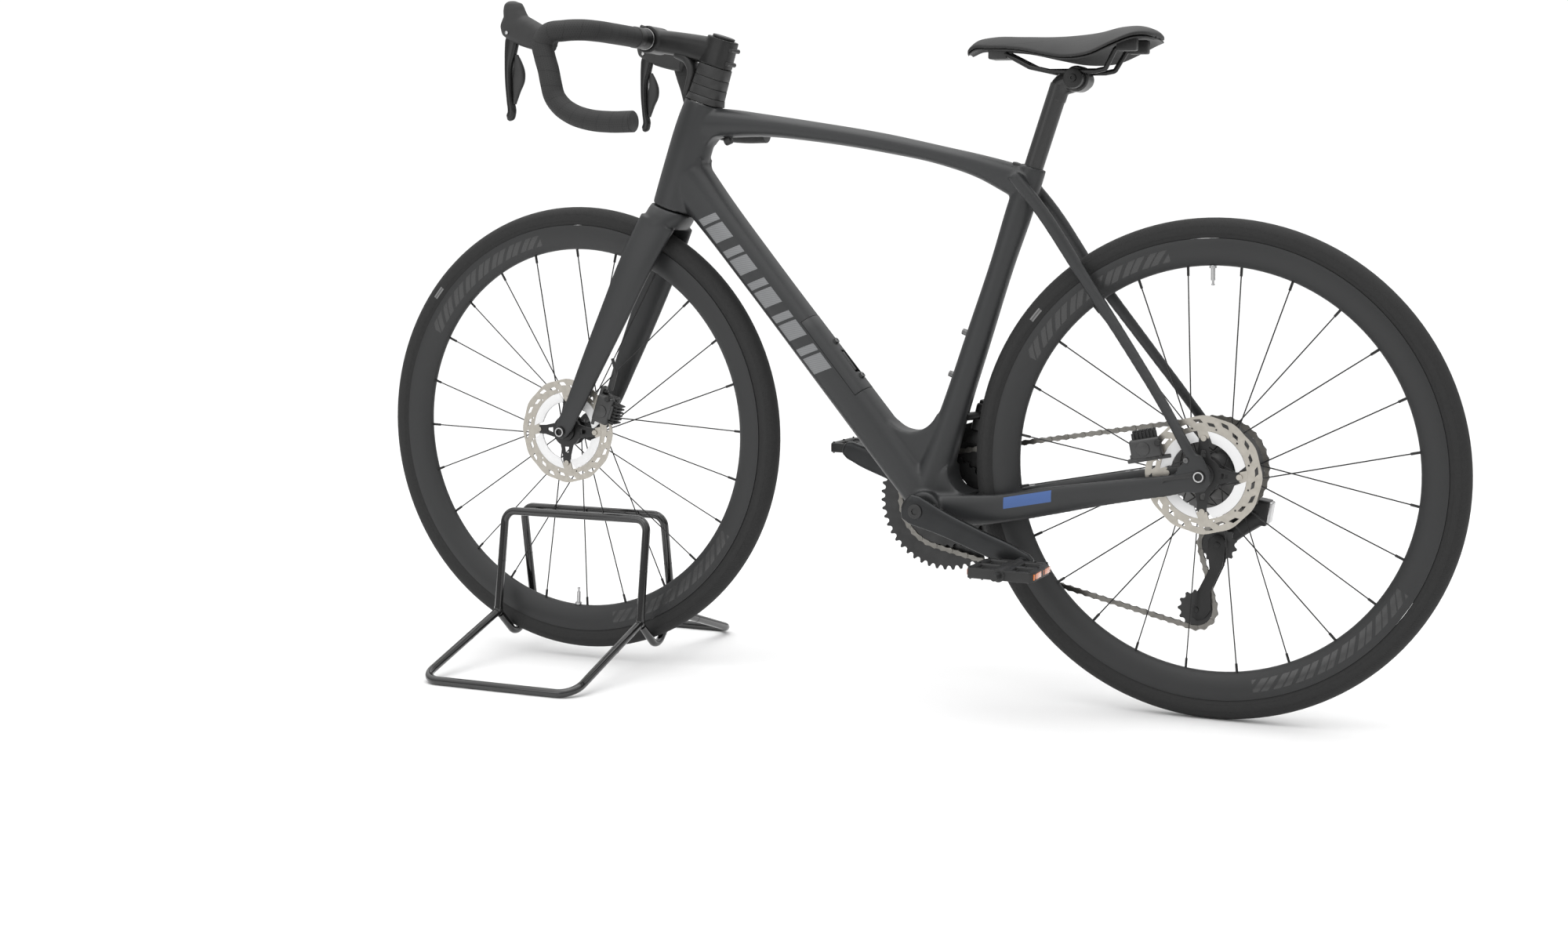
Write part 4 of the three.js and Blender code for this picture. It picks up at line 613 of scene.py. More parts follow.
track_steel = finish(
    "rotor steel", (0.36, 0.34, 0.30, 1), (0.52, 0.49, 0.44, 1), (0.30, 0.45), 120, Metallic=0.85
)
fin_paint = finish("white fin paint", grey(0.72), grey(0.80), (0.35, 0.45), 30)
carrier_black = finish(
    "carrier black", grey(0.015), grey(0.022), (0.35, 0.5), 30, Metallic=0.3
)
for wheel_name, x, y in [("front", -1001, -39.5), ("rear", 0, -55.7)]:
    body = wheel_name + "_wheel"
    edge = []
    for i in range(144):
        turn = 2 * math.pi * i / 144
        wave = 79.2 + 0.8 * math.cos(12 * turn)
        edge.append((x + wave * math.cos(turn), AXLE_HEIGHT + wave * math.sin(turn)))
    slots = []
    for i in range(24):
        start = 2 * math.pi * i / 24
        low, high = (66, 70.5) if i % 2 else (70, 75)
        slots.append(arc_slot(x, AXLE_HEIGHT, low, high, start + 0.05, start + 0.19))
    for i in range(12):
        turn = 2 * math.pi * (i + 0.5) / 12
        spot = (x + 63.5 * math.cos(turn), AXLE_HEIGHT + 63.5 * math.sin(turn))
        slots.append(ring(*spot, 1.5, 10))
    track = flat("rotor", [edge, ring(x, AXLE_HEIGHT, 59.5, 96), *slots], y - 0.9, y + 0.9)
    rivets = []
    for i in range(4):
        turn = math.radians(90 * i)
        spot = (x + 49.5 * math.cos(turn), AXLE_HEIGHT + 49.5 * math.sin(turn))
        rivets.append(rod("rivet", 4.0, (spot[0], y - 3.2, spot[1]), (spot[0], y + 2.5, spot[1])))
        tab = [
            (x + r * math.cos(turn + t), AXLE_HEIGHT + r * math.sin(turn + t))
            for r, t in [(61, 0.16), (52, 0.14), (45.5, 0.10), (43.5, 0), (45.5, -0.10), (52, -0.14), (61, -0.16)]
        ]
        rivets.append(flat("tab", [tab], y - 1.2, y + 1.2))
    rotor = joined(wheel_name + "_rotor", track, *rivets)
    settle(rotor, BICYCLE, track_steel, body, "rotor", wheel_name + "_rotor")

    fins = []
    for i in range(4):
        start = math.radians(90 * i) + 0.17
        outline = arc_slot(x, AXLE_HEIGHT, 44.5, 59, start, start + math.radians(90) - 0.34, 12)
        fins.append(rounded(flat("fin", [outline], y - 1.6, y + 1.6), 0.5))
    fin = joined(wheel_name + "_rotor_fins", *fins)
    settle(fin, BICYCLE, fin_paint, body, "rotor")

    arms = [turned("carrier", [(15.5, y - 3), (24, y - 2.5), (24, y + 3), (15.5, y + 4)], x, AXLE_HEIGHT, 48)]
    for i in range(4):
        turn = math.radians(90 * i)

        def arm_point(r, t):
            return (x + r * math.cos(turn + t), AXLE_HEIGHT + r * math.sin(turn + t))

        arm = [arm_point(r, t) for r, t in [(19, 0.75), (28, 0.36), (38, 0.19), (49, 0.13), (53.5, 0), (49, -0.13), (38, -0.19), (28, -0.36), (19, -0.75)]]
        window = [arm_point(r, t) for r, t in [(25, 0.16), (34, 0.08), (34, -0.08), (25, -0.16)]]
        arms.append(rounded(flat("arm", [arm, window], y - 2.2, y + 0.4), 0.4))
    carrier = joined(wheel_name + "_rotor_carrier", *arms)
    settle(carrier, BICYCLE, carrier_black, body, "black_metal")

# ---------------------------------------------------------------- frame shell
# One moulded carbon shell: head tube, top and down tubes, seat tube, bottom bracket and stays run
# into each other. Matt charcoal lacquer over fine weave, with plain hatched silver blocks.

BB = (-408, 266)
STEER_UP = (math.cos(math.radians(71.9)), math.sin(math.radians(71.9)))
STEER_AHEAD = (-STEER_UP[1], STEER_UP[0])
STEER_FOOT = (-1001 - 48 * STEER_AHEAD[0], AXLE_HEIGHT - 48 * STEER_AHEAD[1])
HEAD_LOW, HEAD_HIGH = 376.3, 543.3


def steer(ahead, y, up):
    """A point ahead of the steering axis and up along it from the front axle's level."""
    x = STEER_FOOT[0] + STEER_UP[0] * up + STEER_AHEAD[0] * ahead
    return (x, y, STEER_FOOT[1] + STEER_UP[1] * up + STEER_AHEAD[1] * ahead)


DOWN_END = steer(0, 0, HEAD_LOW + 58.45)
DOWN_LENGTH = math.hypot(DOWN_END[0] - BB[0], DOWN_END[2] - BB[1])
DOWN_ALONG = ((DOWN_END[0] - BB[0]) / DOWN_LENGTH, (DOWN_END[2] - BB[1]) / DOWN_LENGTH)
DOWN_OUT = (DOWN_ALONG[1], -DOWN_ALONG[0])


def down(along, out, y=0.0):
    """A point along the down tube from the bottom bracket, and out towards the main triangle."""
    x = BB[0] + DOWN_ALONG[0] * along + DOWN_OUT[0] * out
    return (x, y, BB[1] + DOWN_ALONG[1] * along + DOWN_OUT[1] * out)


SEAT_UP = (math.cos(math.radians(72.2)), math.sin(math.radians(72.2)))
SEAT_LENGTH = (752 - BB[1]) / SEAT_UP[1]


def seat(below, ahead=0.0, y=0.0):
    """A point below the seat tube's mouth on its axis, and ahead of it."""
    return (-266 - SEAT_UP[0] * below - SEAT_UP[1] * ahead, y, 752 - SEAT_UP[1] * below + SEAT_UP[0] * ahead)


def loft(name, stations, power=2.0, axis=None, sides=32, per=5):
    """A tube through stations of x, y, z, half depth in the XZ plane and half width along Y."""
    line = through(stations, per)
    turns = (np.arange(sides) + 0.5) / sides * 2 * math.pi
    deep = np.sign(np.cos(turns)) * np.abs(np.cos(turns)) ** (2 / power)
    wide = np.sign(np.sin(turns)) * np.abs(np.sin(turns)) ** (2 / power)
    vertices = []
    for i, (x, y, z, depth, width) in enumerate(line):
        before, after = line[max(i - 1, 0)], line[min(i + 1, len(line) - 1)]
        along = axis or (after - before)[[0, 2]] / np.linalg.norm((after - before)[[0, 2]])
        for d, w in zip(deep * depth, wide * width):
            vertices.append((x - along[1] * d, y + w, z + along[0] * d))
    faces = []
    for i in range(len(line) - 1):
        for k in range(sides):
            a, b = i * sides + k, i * sides + (k + 1) % sides
            faces.append((a, b, b + sides, a + sides))
    faces += [tuple(range(sides))[::-1], tuple(range(len(vertices) - sides, len(vertices)))]
    return tidy(build(name, vertices, faces), 0.001)


def moulded(name, voxel, passes, *parts):
    """Parts run together into one skin, with its corners eased."""
    piece = joined(name, *parts)
    modify(piece, "REMESH", mode="VOXEL", voxel_size=voxel)
    return modify(piece, "SMOOTH", factor=0.5, iterations=passes)


def aligned_box(name, spot, along, size):
    """A box about a point in the XZ plane, its first side along a direction there."""
    bpy.ops.mesh.primitive_cube_add(size=1)
    piece = bpy.context.object
    piece.name = name
    turn = Matrix.Rotation(-math.atan2(along[1], along[0]), 4, "Y")
    piece.data.transform(Matrix.Translation(spot) @ turn @ Matrix.Diagonal((*size, 1)))
    return piece


HEAD_STATIONS = [
    (*steer(0, 0, HEAD_LOW), 33.5, 30),
    (*steer(1, 0, HEAD_LOW + 67), 33.5, 28.5),
    (*steer(1, 0, HEAD_LOW + 134), 32.5, 28),
    (*steer(0, 0, HEAD_HIGH), 30, 28),
]
TOP_STATIONS = [
    (*steer(0, 0, HEAD_HIGH - 32), 24, 24),
    (-735, 0, 813, 20.5, 23),
    (-690, 0, 810.5, 17, 22),
    (-600, 0, 800.5, 14.5, 21),
    (-491, 0, 784.5, 13.8, 20),
    (-400, 0, 766.5, 13.6, 19),
    (-341, 0, 751, 17, 18.5),
    (-300, 0, 736, 22, 18),
    (-278, 0, 727, 24, 17),
]
DOWN_STATIONS = [
    (*down(share * DOWN_LENGTH, 0), depth, width)
    for share, depth, width in [(0.02, 28, 36), (0.15, 29.5, 32), (0.35, 30, 29), (0.7, 30, 28), (0.88, 32, 28), (0.98, 36, 27)]
]
SEAT_STATIONS = [
    (*seat(share * SEAT_LENGTH), depth, width)
    for share, depth, width in [(0, 18.5, 18), (0.12, 19.5, 18), (0.27, 17.5, 17.5), (0.5, 19, 18.5), (0.7, 20.5, 21), (0.85, 24, 27), (0.96, 30, 34)]
]
SEATSTAY = [(-288, 24, 741, 9, 7), (-244, 26, 690, 9.5, 6.5), (-188, 27.5, 611, 9.2, 5.5), (-110, 44, 508, 8, 5.5), (-50, 63, 427, 7.5, 5.5), (-20, 75.3, 383, 8, 4.5), (-6, 75.3, 360, 9, 4.5)]
CHAINSTAY = [(-395, 26, 260, 24, 10), (-345, 28, 266, 22.5, 8), (-300, 31, 272, 21, 8), (-221, 42, 290, 20, 8), (-154, 54, 305, 17.5, 7), (-83, 66, 320, 15.5, 6), (-30, 75.3, 331, 14, 4.5), (-4, 75.3, 338, 12, 4.5)]
DROPOUT = [(-44, 318), (6, 322), (15, 334), (15, 348), (2, 372), (-12, 372), (-30, 352)]

shell_parts = [
    loft("head tube", HEAD_STATIONS, axis=STEER_UP),
    loft("top tube", TOP_STATIONS, 2.3),
    loft("down tube", DOWN_STATIONS, 2.4),
    loft("seat tube", SEAT_STATIONS),
    rod("bracket shell", 24, (BB[0], -43, BB[1]), (BB[0], 43, BB[1]), 48),
]
for side in (-1, 1):
    shell_parts += [
        loft("seatstay", [(x, side * y, z, d, w) for x, y, z, d, w in SEATSTAY], 2.4),
        loft("chainstay", [(x, side * y, z, d, w) for x, y, z, d, w in CHAINSTAY], 2.6),
        flat("dropout", [DROPOUT], side * 75.3 - 4, side * 75.3 + 4),
    ]


def web(name, corner, first, second, radius, half_width, depth=22):
    """A fillet between two edges that leave a corner in two directions of the XZ plane."""
    first, second = Vector(first).normalized(), Vector(second).normalized()
    corner = Vector(corner)
    half = first.angle(second) / 2
    middle = corner + (first + second).normalized() * (radius / math.sin(half))
    spots = [corner + way * (radius / math.tan(half)) for way in (first, second)]
    start, end = (math.atan2(spot.y - middle.y, spot.x - middle.x) for spot in spots)
    turn = (end - start + math.pi) % (2 * math.pi) - math.pi
    arc = [
        (middle.x + radius * math.cos(start + turn * k / 12), middle.y + radius * math.sin(start + turn * k / 12))
        for k in range(13)
    ]
    back = (first + second).normalized() * depth
    outline = [*arc, tuple(spots[1] - back), tuple(corner - back), tuple(spots[0] - back)]
    return rounded(flat(name, [outline], -half_width, half_width), half_width * 0.55, 4)


def crossing(spot, way, other_spot, other_way):
    """Where two lines of the XZ plane meet."""
    (x0, z0), (a, b), (x1, z1), (c, d) = spot, way, other_spot, other_way
    share = ((x1 - x0) * d - (z1 - z0) * c) / (a * d - b * c)
    return (x0 + a * share, z0 + b * share)


down_edge = tuple(down(0, 29))[::2]
seat_edge = tuple(seat(0, 20))[::2]
head_edge = tuple(steer(-31, 0, 450))[::2]
shell_parts += [
    web("bracket web", crossing(down_edge, DOWN_ALONG, seat_edge, SEAT_UP), DOWN_ALONG, SEAT_UP, 44, 19),
    web("lower head web", crossing(down_edge, DOWN_ALONG, head_edge, STEER_UP), (-DOWN_ALONG[0], -DOWN_ALONG[1]), STEER_UP, 26, 19),
    web("upper head web", crossing((-735, 793), (1, -0.06), head_edge, STEER_UP), (1, -0.06), (-STEER_UP[0], -STEER_UP[1]), 20, 17),
    web("stay web", crossing((-345, 289), (1, 0.14), tuple(seat(0, -24))[::2], SEAT_UP), (1, 0.14), SEAT_UP, 30, 26),
]
shell = moulded("frame_shell", 2.4, 9, *shell_parts)

DOOR = (192, 328, 14)  # along the down tube from and to, and its seam above the axis
door_middle = (DOOR[0] + DOOR[1]) / 2
carve(
    shell,
    rod("head bore", 19.3, steer(0, 0, HEAD_LOW - 8), steer(0, 0, HEAD_HIGH + 8), 48),
    rod("lower race", 26, steer(0, 0, HEAD_LOW - 8), steer(0, 0, HEAD_LOW + 8), 48),
    rod("upper race", 26, steer(0, 0, HEAD_HIGH - 8), steer(0, 0, HEAD_HIGH + 8), 48),
    rod("post bore", 13.9, seat(-12), seat(146), 48),
    rod("spindle bore", 12.5, (BB[0], -50, BB[1]), (BB[0], 50, BB[1]), 32),
    rod("axle bore", 6.4, (0, -90, AXLE_HEIGHT), (0, 90, AXLE_HEIGHT), 24),
    aligned_box("door gap", down(door_middle, 32), DOWN_ALONG, (136, 80, 36)),
    aligned_box("pocket", down(door_middle, 2), DOWN_ALONG, (112, 34, 28)),
)

lacquer = Shader("charcoal lacquer", Coat_Weight=0.12, Coat_Roughness=0.35)


def down_blocks(shader, first, last, pitch, half):
    """Slanted hatched blocks along the down tube's sides, as a factor."""
    _, px, py, pz = shader.place()
    origin = BICYCLE @ Vector(down(0, 0))
    along = (BICYCLE.to_3x3() @ Vector((DOWN_ALONG[0], 0, DOWN_ALONG[1]))).normalized()
    out = (BICYCLE.to_3x3() @ Vector((DOWN_OUT[0], 0, DOWN_OUT[1]))).normalized()
    run = ((px - origin.x) * along.x + (pz - origin.z) * along.z) * 1000.0
    rise = ((px - origin.x) * out.x + (pz - origin.z) * out.z) * 1000.0
    lean = run + rise * 0.35
    cell = (lean - first) % pitch
    inside = (lean > first) * (lean < last) * (abs(rise + 4.0) < half) * (cell < pitch * 0.74)
    notch = (cell > pitch * 0.46) * (cell < pitch * 0.54)
    hatch = 0.55 + 0.45 * (((run * 0.9 + rise * 0.9) % 2.4) > 0.9)
    return inside * (1.0 - notch) * hatch * (abs(py) > 0.015)


point, px, py, pz = lacquer.place()
cloud = lacquer.noise(point, 7.0)
base = lacquer.mix(cloud, grey(0.009, 0.06), grey(0.016, 0.06))
weave = ((px * 2600.0).math("SINE") * (pz * 2600.0).math("SINE")) * 0.5 + 0.5
base = lacquer.mix(weave * 0.10, base, grey(0.04, 0.05))
blocks = down_blocks(lacquer, 250.0, 560.0, 62.0, 15.0)
stay_foot = BICYCLE @ Vector((-300, -36, 272))
stay_run, stay_rise = (px - stay_foot.x) * 1000.0, (pz - stay_foot.z) * 1000.0
label = (stay_run > 12.0) * (stay_run < 86.0) * (abs(stay_rise - stay_run * 0.212 - 7.0) < 8.0)
label = label * (py < -0.015)
base = lacquer.mix(label * 0.85, base, (0.05, 0.12, 0.34, 1))
lacquer.feed("Base Color", lacquer.mix(blocks * 0.75, base, grey(0.30, 0.02)))
lacquer.feed("Roughness", 0.40 + cloud * 0.12 - blocks * 0.1)
lacquer.feed("Metallic", blocks * 0.5)
lacquer.bump(lacquer.noise(point, 420.0, 2.0), 0.00003)
settle(
    shell,
    BICYCLE,
    lacquer,
    "frame",
    "carbon",
    "head_tube",
    "top_tube",
    "down_tube",
    "seat_tube",
    "rear_stays_left",
    "rear_stays_right",
)

# ---------------------------------------------------------------- frame fittings
# Bottle bolts, a cable port, the wedge cover over the seatpost's clamp, the screws and the
# recessed slot at the left dropout. Black plastic and steel bolts in bonded inserts.

plastic = finish("black plastic", grey(0.012), grey(0.024), (0.38, 0.55), 50, 0.00003)
bolts = []
for below in (254, 318):
    bolts.append(rod("boss", 4.6, seat(below, 17), seat(below, 22.4)))
    head = rounded(rod("bolt", 4.4, seat(below, 22.4), seat(below, 26)), 0.6)
    bolts.append(carve(head, rod("key", 1.7, seat(below, 24), seat(below, 27), 6)))
for x, z, y, radius in [(-18, 364, -79.5, 3.6), (-8, 354, 79.5, 3.0)]:
    end = y + math.copysign(1.6, y)
    screw = rounded(rod("screw", radius, (x, y, z), (x, end, z)), 0.4)
    bolts.append(carve(screw, rod("key", 1.3, (x, end - math.copysign(0.9, y), z), (x, end * 1.02, z), 6)))
bolt_set = joined("frame_bolts", *bolts)
bolt_steel = finish("bolt steel", grey(0.10), grey(0.2), (0.3, 0.45), 80, Metallic=1.0)
settle(bolt_set, BICYCLE, bolt_steel, "frame", "steel")

slot_line = [(-50, 331), (-46, 334.5), (-6, 342), (-4, 346), (-8, 349), (-50, 338)]
fittings = [
    rounded(flat("slot", [slot_line], -80.4, -79.2), 0.4),
    rounded(rod("port", 6.5, (-752, 0, 786), (-742, 0, 790), 24), 1.5),
    rounded(aligned_box("wedge", (-285, 0, 753.5), (1, -0.35), (22, 15, 5)), 1.6),
]
fitting = joined("frame_fittings", *fittings)
settle(fitting, BICYCLE, plastic, "frame", "plastic", "seat_wedge")

for name, low in [("headset_bearing_lower", HEAD_LOW + 0.5), ("headset_bearing_upper", HEAD_HIGH - 7.5)]:
    race = carve(
        rounded(rod(name, 25.5, steer(0, 0, low), steer(0, 0, low + 7), 48), 0.6),
        rod("bore", 14.6, steer(0, 0, low - 1), steer(0, 0, low + 8), 48),
    )
    settle(race, BICYCLE, silver, "frame", "steel", name)

# ---------------------------------------------------------------- storage door
# The top of the down tube over a pocket, cut free as a lid with two bottle bolts, and a small
# lever that turns to let it lift. Same lacquered carbon as the frame.

lid = loft("storage_door", DOWN_STATIONS, 2.4, sides=48)
lid_box = aligned_box("lid box", down(door_middle, 32.4), DOWN_ALONG, (134.8, 80, 36))
modify(lid, "BOOLEAN", operation="INTERSECT", solver="EXACT", object=lid_box)
bpy.data.objects.remove(lid_box)
carve(lid, aligned_box("recess", down(242, 31), DOWN_ALONG, (40, 14, 12)))
rounded(lid, 0.6)
settle(lid, BICYCLE, lacquer, "storage_door", "carbon", "storage_door")
lid_bolts = []
for along in (214, 278):
    lid_bolts.append(rod("boss", 5.0, down(along, 26), down(along, 31)))
    head = rounded(rod("bolt", 4.4, down(along, 31), down(along, 34)), 0.6)
    lid_bolts.append(carve(head, rod("key", 1.7, down(along, 32.4), down(along, 35), 6)))
lid_bolt = joined("storage_door_bolts", *lid_bolts)
settle(lid_bolt, BICYCLE, bolt_steel, "storage_door", "steel")
latch = rounded(aligned_box("door_latch", down(243, 27.2), DOWN_ALONG, (34, 10, 3.6)), 1.1, 3)
settle(latch, BICYCLE, plastic, "door_latch", "plastic", "door_latch")

# ---------------------------------------------------------------- fork
# A carbon fork in one piece: steerer, crown and two bladed legs that end in dropouts. The same
# matt lacquer as the frame.

BLADE = [(5, 28, 354, 30, 11), (12.8, 40, 291, 28, 9.5), (22.3, 47, 200, 24, 9), (33, 52, 107, 19, 8), (40.4, 55.3, 41, 15, 6), (48, 55.3, 0, 12, 5), (50, 55.3, -10, 8, 5)]
CROWN = [(5, 0, 349, 29, 41), (3, 0, 362, 33, 37), (0, 0, 375, 33.5, 30)]
fork_parts = [loft("crown", [(*steer(*s[:3]), *s[3:]) for s in CROWN], 2.4, axis=STEER_UP)]
for side in (-1, 1):
    stations = [(*steer(f, side * y, u), d, w) for f, y, u, d, w in BLADE]
    fork_parts.append(loft("blade", stations, 2.3))
fork_skin = moulded("fork", 2.0, 6, *fork_parts)
carve(fork_skin, rod("axle bore", 6.4, (-1001, -80, AXLE_HEIGHT), (-1001, 80, AXLE_HEIGHT), 24))
fork = joined("fork", fork_skin, rod("steerer", 14.2, steer(0, 0, 370), steer(0, 0, 638), 32))
settle(fork, BICYCLE, lacquer, "fork_and_bars", "carbon", "fork")

# ---------------------------------------------------------------- thru-axles
# Hollow aluminium axles through hub and dropouts; each shows a silver-edged head with a hex
# socket on the left.

for name, x, body, face in [("front", -1001, "fork_and_bars", 60.3), ("rear", 0, "frame", 79.3)]:
    axle = joined(
        name + "_thru_axle",
        rod("axle", 6.0, (x, -face - 0.6, AXLE_HEIGHT), (x, face - 1, AXLE_HEIGHT), 32),
        carve(
            rounded(rod("head", 8.6, (x, -face - 3, AXLE_HEIGHT), (x, -face - 0.3, AXLE_HEIGHT), 48), 0.7),
            rod("socket", 4.6, (x, -face - 6, AXLE_HEIGHT), (x, -face - 1.6, AXLE_HEIGHT), 6),
        ),
    )
    settle(axle, BICYCLE, black_metal, body, "black_metal", name + "_thru_axle")
    bezel = turned(name + "_axle_ring", [(5.4, -face - 3.4), (7.0, -face - 3.4), (7.0, -face - 2.8), (5.4, -face - 2.8)], x, AXLE_HEIGHT, 48)
    settle(bezel, BICYCLE, silver, body, "steel")

# ---------------------------------------------------------------- spacers and stem
# A stack of D-shaped plastic spacers under a forged stem, whose front clamp holds the bar with
# four bolts and whose steerer clamp has two bolts behind. Matt black.

spacer_parts = []
for low, high, depths, widths in [(543.6, 553.4, (29, 27), (26, 23.4)), (553.8, 567.6, (26.9, 26.3), (23.2, 22.4)), (568, 581.8, (26.2, 25.6), (22.3, 21.7)), (582.2, 599.4, (25.5, 25), (21.6, 21))]:
    stations = [(*steer(0, 0, u), d, w) for u, d, w in zip((low, high), depths, widths)]
    spacer_parts.append(rounded(loft("spacer", stations, 2.6, STEER_UP, 40, 1), 0.7))
spacers = joined("headset_spacers", *spacer_parts)
carve(spacers, rod("bore", 14.6, steer(0, 0, 538), steer(0, 0, 606), 48))
settle(spacers, BICYCLE, plastic, "fork_and_bars", "plastic", "headset_spacers")

BAR = steer(113, 0, 604.6)
stem_skin = moulded(
    "stem",
    1.4,
    5,
    loft("clamp", [(*steer(1, 0, 599.7), 25, 21), (*steer(0.5, 0, 620), 24, 20), (*steer(0, 0, 641.6), 23, 19)], 2.6, STEER_UP),
    loft("reach", [(*steer(0, 0, 620), 21, 19), (*steer(30, 0, 617), 20, 18), (*steer(62, 0, 613.5), 18, 18), (*steer(105, 0, 605.6), 17.5, 22)], 3.0),
    rod("bar clamp", 20.4, (BAR[0], -22, BAR[2]), (BAR[0], 22, BAR[2]), 48),
)
carve(
    stem_skin,
    rod("steerer bore", 14.6, steer(0, 0, 590), steer(0, 0, 650), 48),
    rod("bar bore", 16.2, (BAR[0], -40, BAR[2]), (BAR[0], 40, BAR[2]), 48),
    aligned_box("faceplate gap", steer(117, 0, 604.6), STEER_UP, (60, 60, 0.9)),
)
settle(stem_skin, BICYCLE, black_metal, "fork_and_bars", "black_metal", "stem")
cover_line = [(*steer(66, 0, 597), 6, 13), (*steer(44, 0, 594), 7, 14), (*steer(33, 0, 582), 7, 14), (*steer(30.5, 0, 564), 6, 14), (*steer(30, 0, 545), 5, 13)]
hose_cover = loft("hose_cover", cover_line, 3.0)
settle(hose_cover, BICYCLE, plastic, "fork_and_bars", "plastic", angle=50)
stem_bolts = [rounded(rod("top cap", 17, steer(0, 0, 641.8), steer(0, 0, 645.5), 48), 1.2)]
for y in (-15, 15):
    for up in (590, 619):
        stem_bolts.append(rod("faceplate bolt", 3.2, steer(124, y, up), steer(131.5, y, up)))
for up in (609, 630):
    stem_bolts.append(rod("pinch bolt", 3.4, steer(-23, -12, up), steer(-23, 12, up)))
stem_bolt = joined("stem_bolts", *stem_bolts)
settle(stem_bolt, BICYCLE, carrier_black, "fork_and_bars", "black_metal")

# ---------------------------------------------------------------- handlebar and tape
# A drop bar of butted aluminium tube. Perforated tape winds out along each half from beside the
# stem to a plug in the end; a band of tape finishes it.

BAR_HALF = [(0, 60, 0), (0, 120, 0), (2, 155, 0), (13, 178, 0), (33, 193, -2), (55, 200, -7), (63, 202, -20), (59, 203, -38), (52, 204, -58), (47, 205, -77), (41, 205, -96), (30, 205, -109), (10, 205, -121), (-14, 205, -128), (-50, 205, -131.5), (-87, 205, -131)]
half = [(BAR[0] - ahead, across, BAR[2] + above) for ahead, across, above in BAR_HALF]
other = [(x, -y, z) for x, y, z in half[::-1]]
bar_line = through([*other, (BAR[0], 0, BAR[2]), *half], 8)
bar_radii = [15.9 - 3.9 * min(max((abs(y) - 34) / 26, 0), 1) for x, y, z in bar_line]
bar = sweep("handlebar", bar_line, bar_radii, 32)
settle(bar, BICYCLE, black_metal, "fork_and_bars", "black_metal", "handlebar")

tape_rubber = Shader("bar tape", Specular_IOR_Level=0.4)
point, *_ = tape_rubber.place()
run = tape_rubber.node("ShaderNodeAttribute", {"attribute_name": "along"}, output="Fac")
round_turn = tape_rubber.node("ShaderNodeAttribute", {"attribute_name": "round"}, output="Fac")
wrap = ((run + round_turn * 21.0) / 21.0) % 1.0
edge = (wrap < 0.05) + 0.0
holes = ((run * 2.1).math("SINE") * (round_turn * 6.2832 * 14.0).math("SINE")) > 0.62
cloud = tape_rubber.noise(point, 25.0)
tone = tape_rubber.mix(cloud, grey(0.016), grey(0.03))
# Painted shade: the perforations and a thin line under each overlapping turn's edge are mixed towards near-black,
# standing in for the shade in the holes and in the crease.
tape_rubber.feed("Base Color", tape_rubber.mix(holes * 0.6 + edge * 0.4, tone, grey(0.004)))
tape_rubber.feed("Roughness", 0.58 + cloud * 0.18)
tape_rubber.bump(wrap * 1.0 - holes * 0.5, 0.0006)
for side_name, side in [("left", -1), ("right", 1)]:
    line = [p for p in bar_line if side * p[1] > 44]
    line = line if side > 0 else line[::-1]
    radii = [15.2] * len(line)
    tape = sweep("bar_tape_" + side_name, line, radii, 32)
    turns = [k % 32 / 32 for k in range(len(tape.data.vertices))]
    tape.data.attributes.new("round", "FLOAT", "POINT").data.foreach_set("value", turns)
    settle(tape, BICYCLE, tape_rubber, "fork_and_bars", "rubber", "bar_tape_" + side_name)
    end = Vector(line[-1])
    out = (end - Vector(line[-2])).normalized()
    inner = Vector(line[0])
    toward = (Vector(line[1]) - inner).normalized()
    plugs = [
        rounded(rod("plug", 14.6, end - out * 1.0, end + out * 1.0, 32), 0.6),
        rounded(rod("band", 15.9, inner - toward, inner + toward * 13, 48), 0.5),
    ]
    plug = joined("bar_plug_" + side_name, *plugs)
    settle(plug, BICYCLE, plastic, "fork_and_bars", "plastic")
ring_parts = [rounded(rod("bar ring", 16.3, (BAR[0], side * 25, BAR[2]), (BAR[0], side * 27, BAR[2]), 48), 0.3) for side in (-1, 1)]
bar_ring = joined("bar_marks", *ring_parts)
settle(bar_ring, BICYCLE, silver, "fork_and_bars", "steel")

# ---------------------------------------------------------------- hoods, levers and shift paddles
# Rubber hoods over plastic brackets on the front of each bend. A dark metal brake blade hangs
# from a pin across each, with a small shift paddle behind it.

rubber_hood = finish("hood rubber", grey(0.014), grey(0.024), (0.50, 0.66), 40, 0.00006, 600)
lever_grey = finish("dark lever metal", grey(0.02), grey(0.035), (0.16, 0.28), 30, Metallic=0.6)
PIVOT = (BAR[0] - 123, BAR[2] - 9)
HOOD_BODY = [(70, -8, 17, 14), (50, -3, 18.5, 14), (28, 5, 21, 14), (8, 14, 22, 13.5), (-3, 21, 21, 12), (-10, 25, 14, 9)]
HOOD_NOSE = [(10, 10, 24, 13), (8, 22, 20, 13), (5, 33, 17, 12.5), (3, 42, 15, 11.5), (2, 48, 11, 9), (2, 51, 5, 4)]
LEVER = [(1, 6, 6, 4.5), (1, -2, 10, 5.5), (-1, -18, 9.8, 6), (-4, -40, 6.5, 6.5), (-4, -66, 5.5, 6.5), (-2, -92, 5, 6), (0, -108, 6, 5.5), (-3, -116, 5.5, 5), (-5, -119, 2.5, 3)]
PADDLE = [(8, -26, 2.5, 2.5), (11, -38, 6, 4), (13, -52, 9, 4.5), (12, -62, 9.5, 4.5), (9, -76, 6, 4), (5, -96, 2, 2.5)]
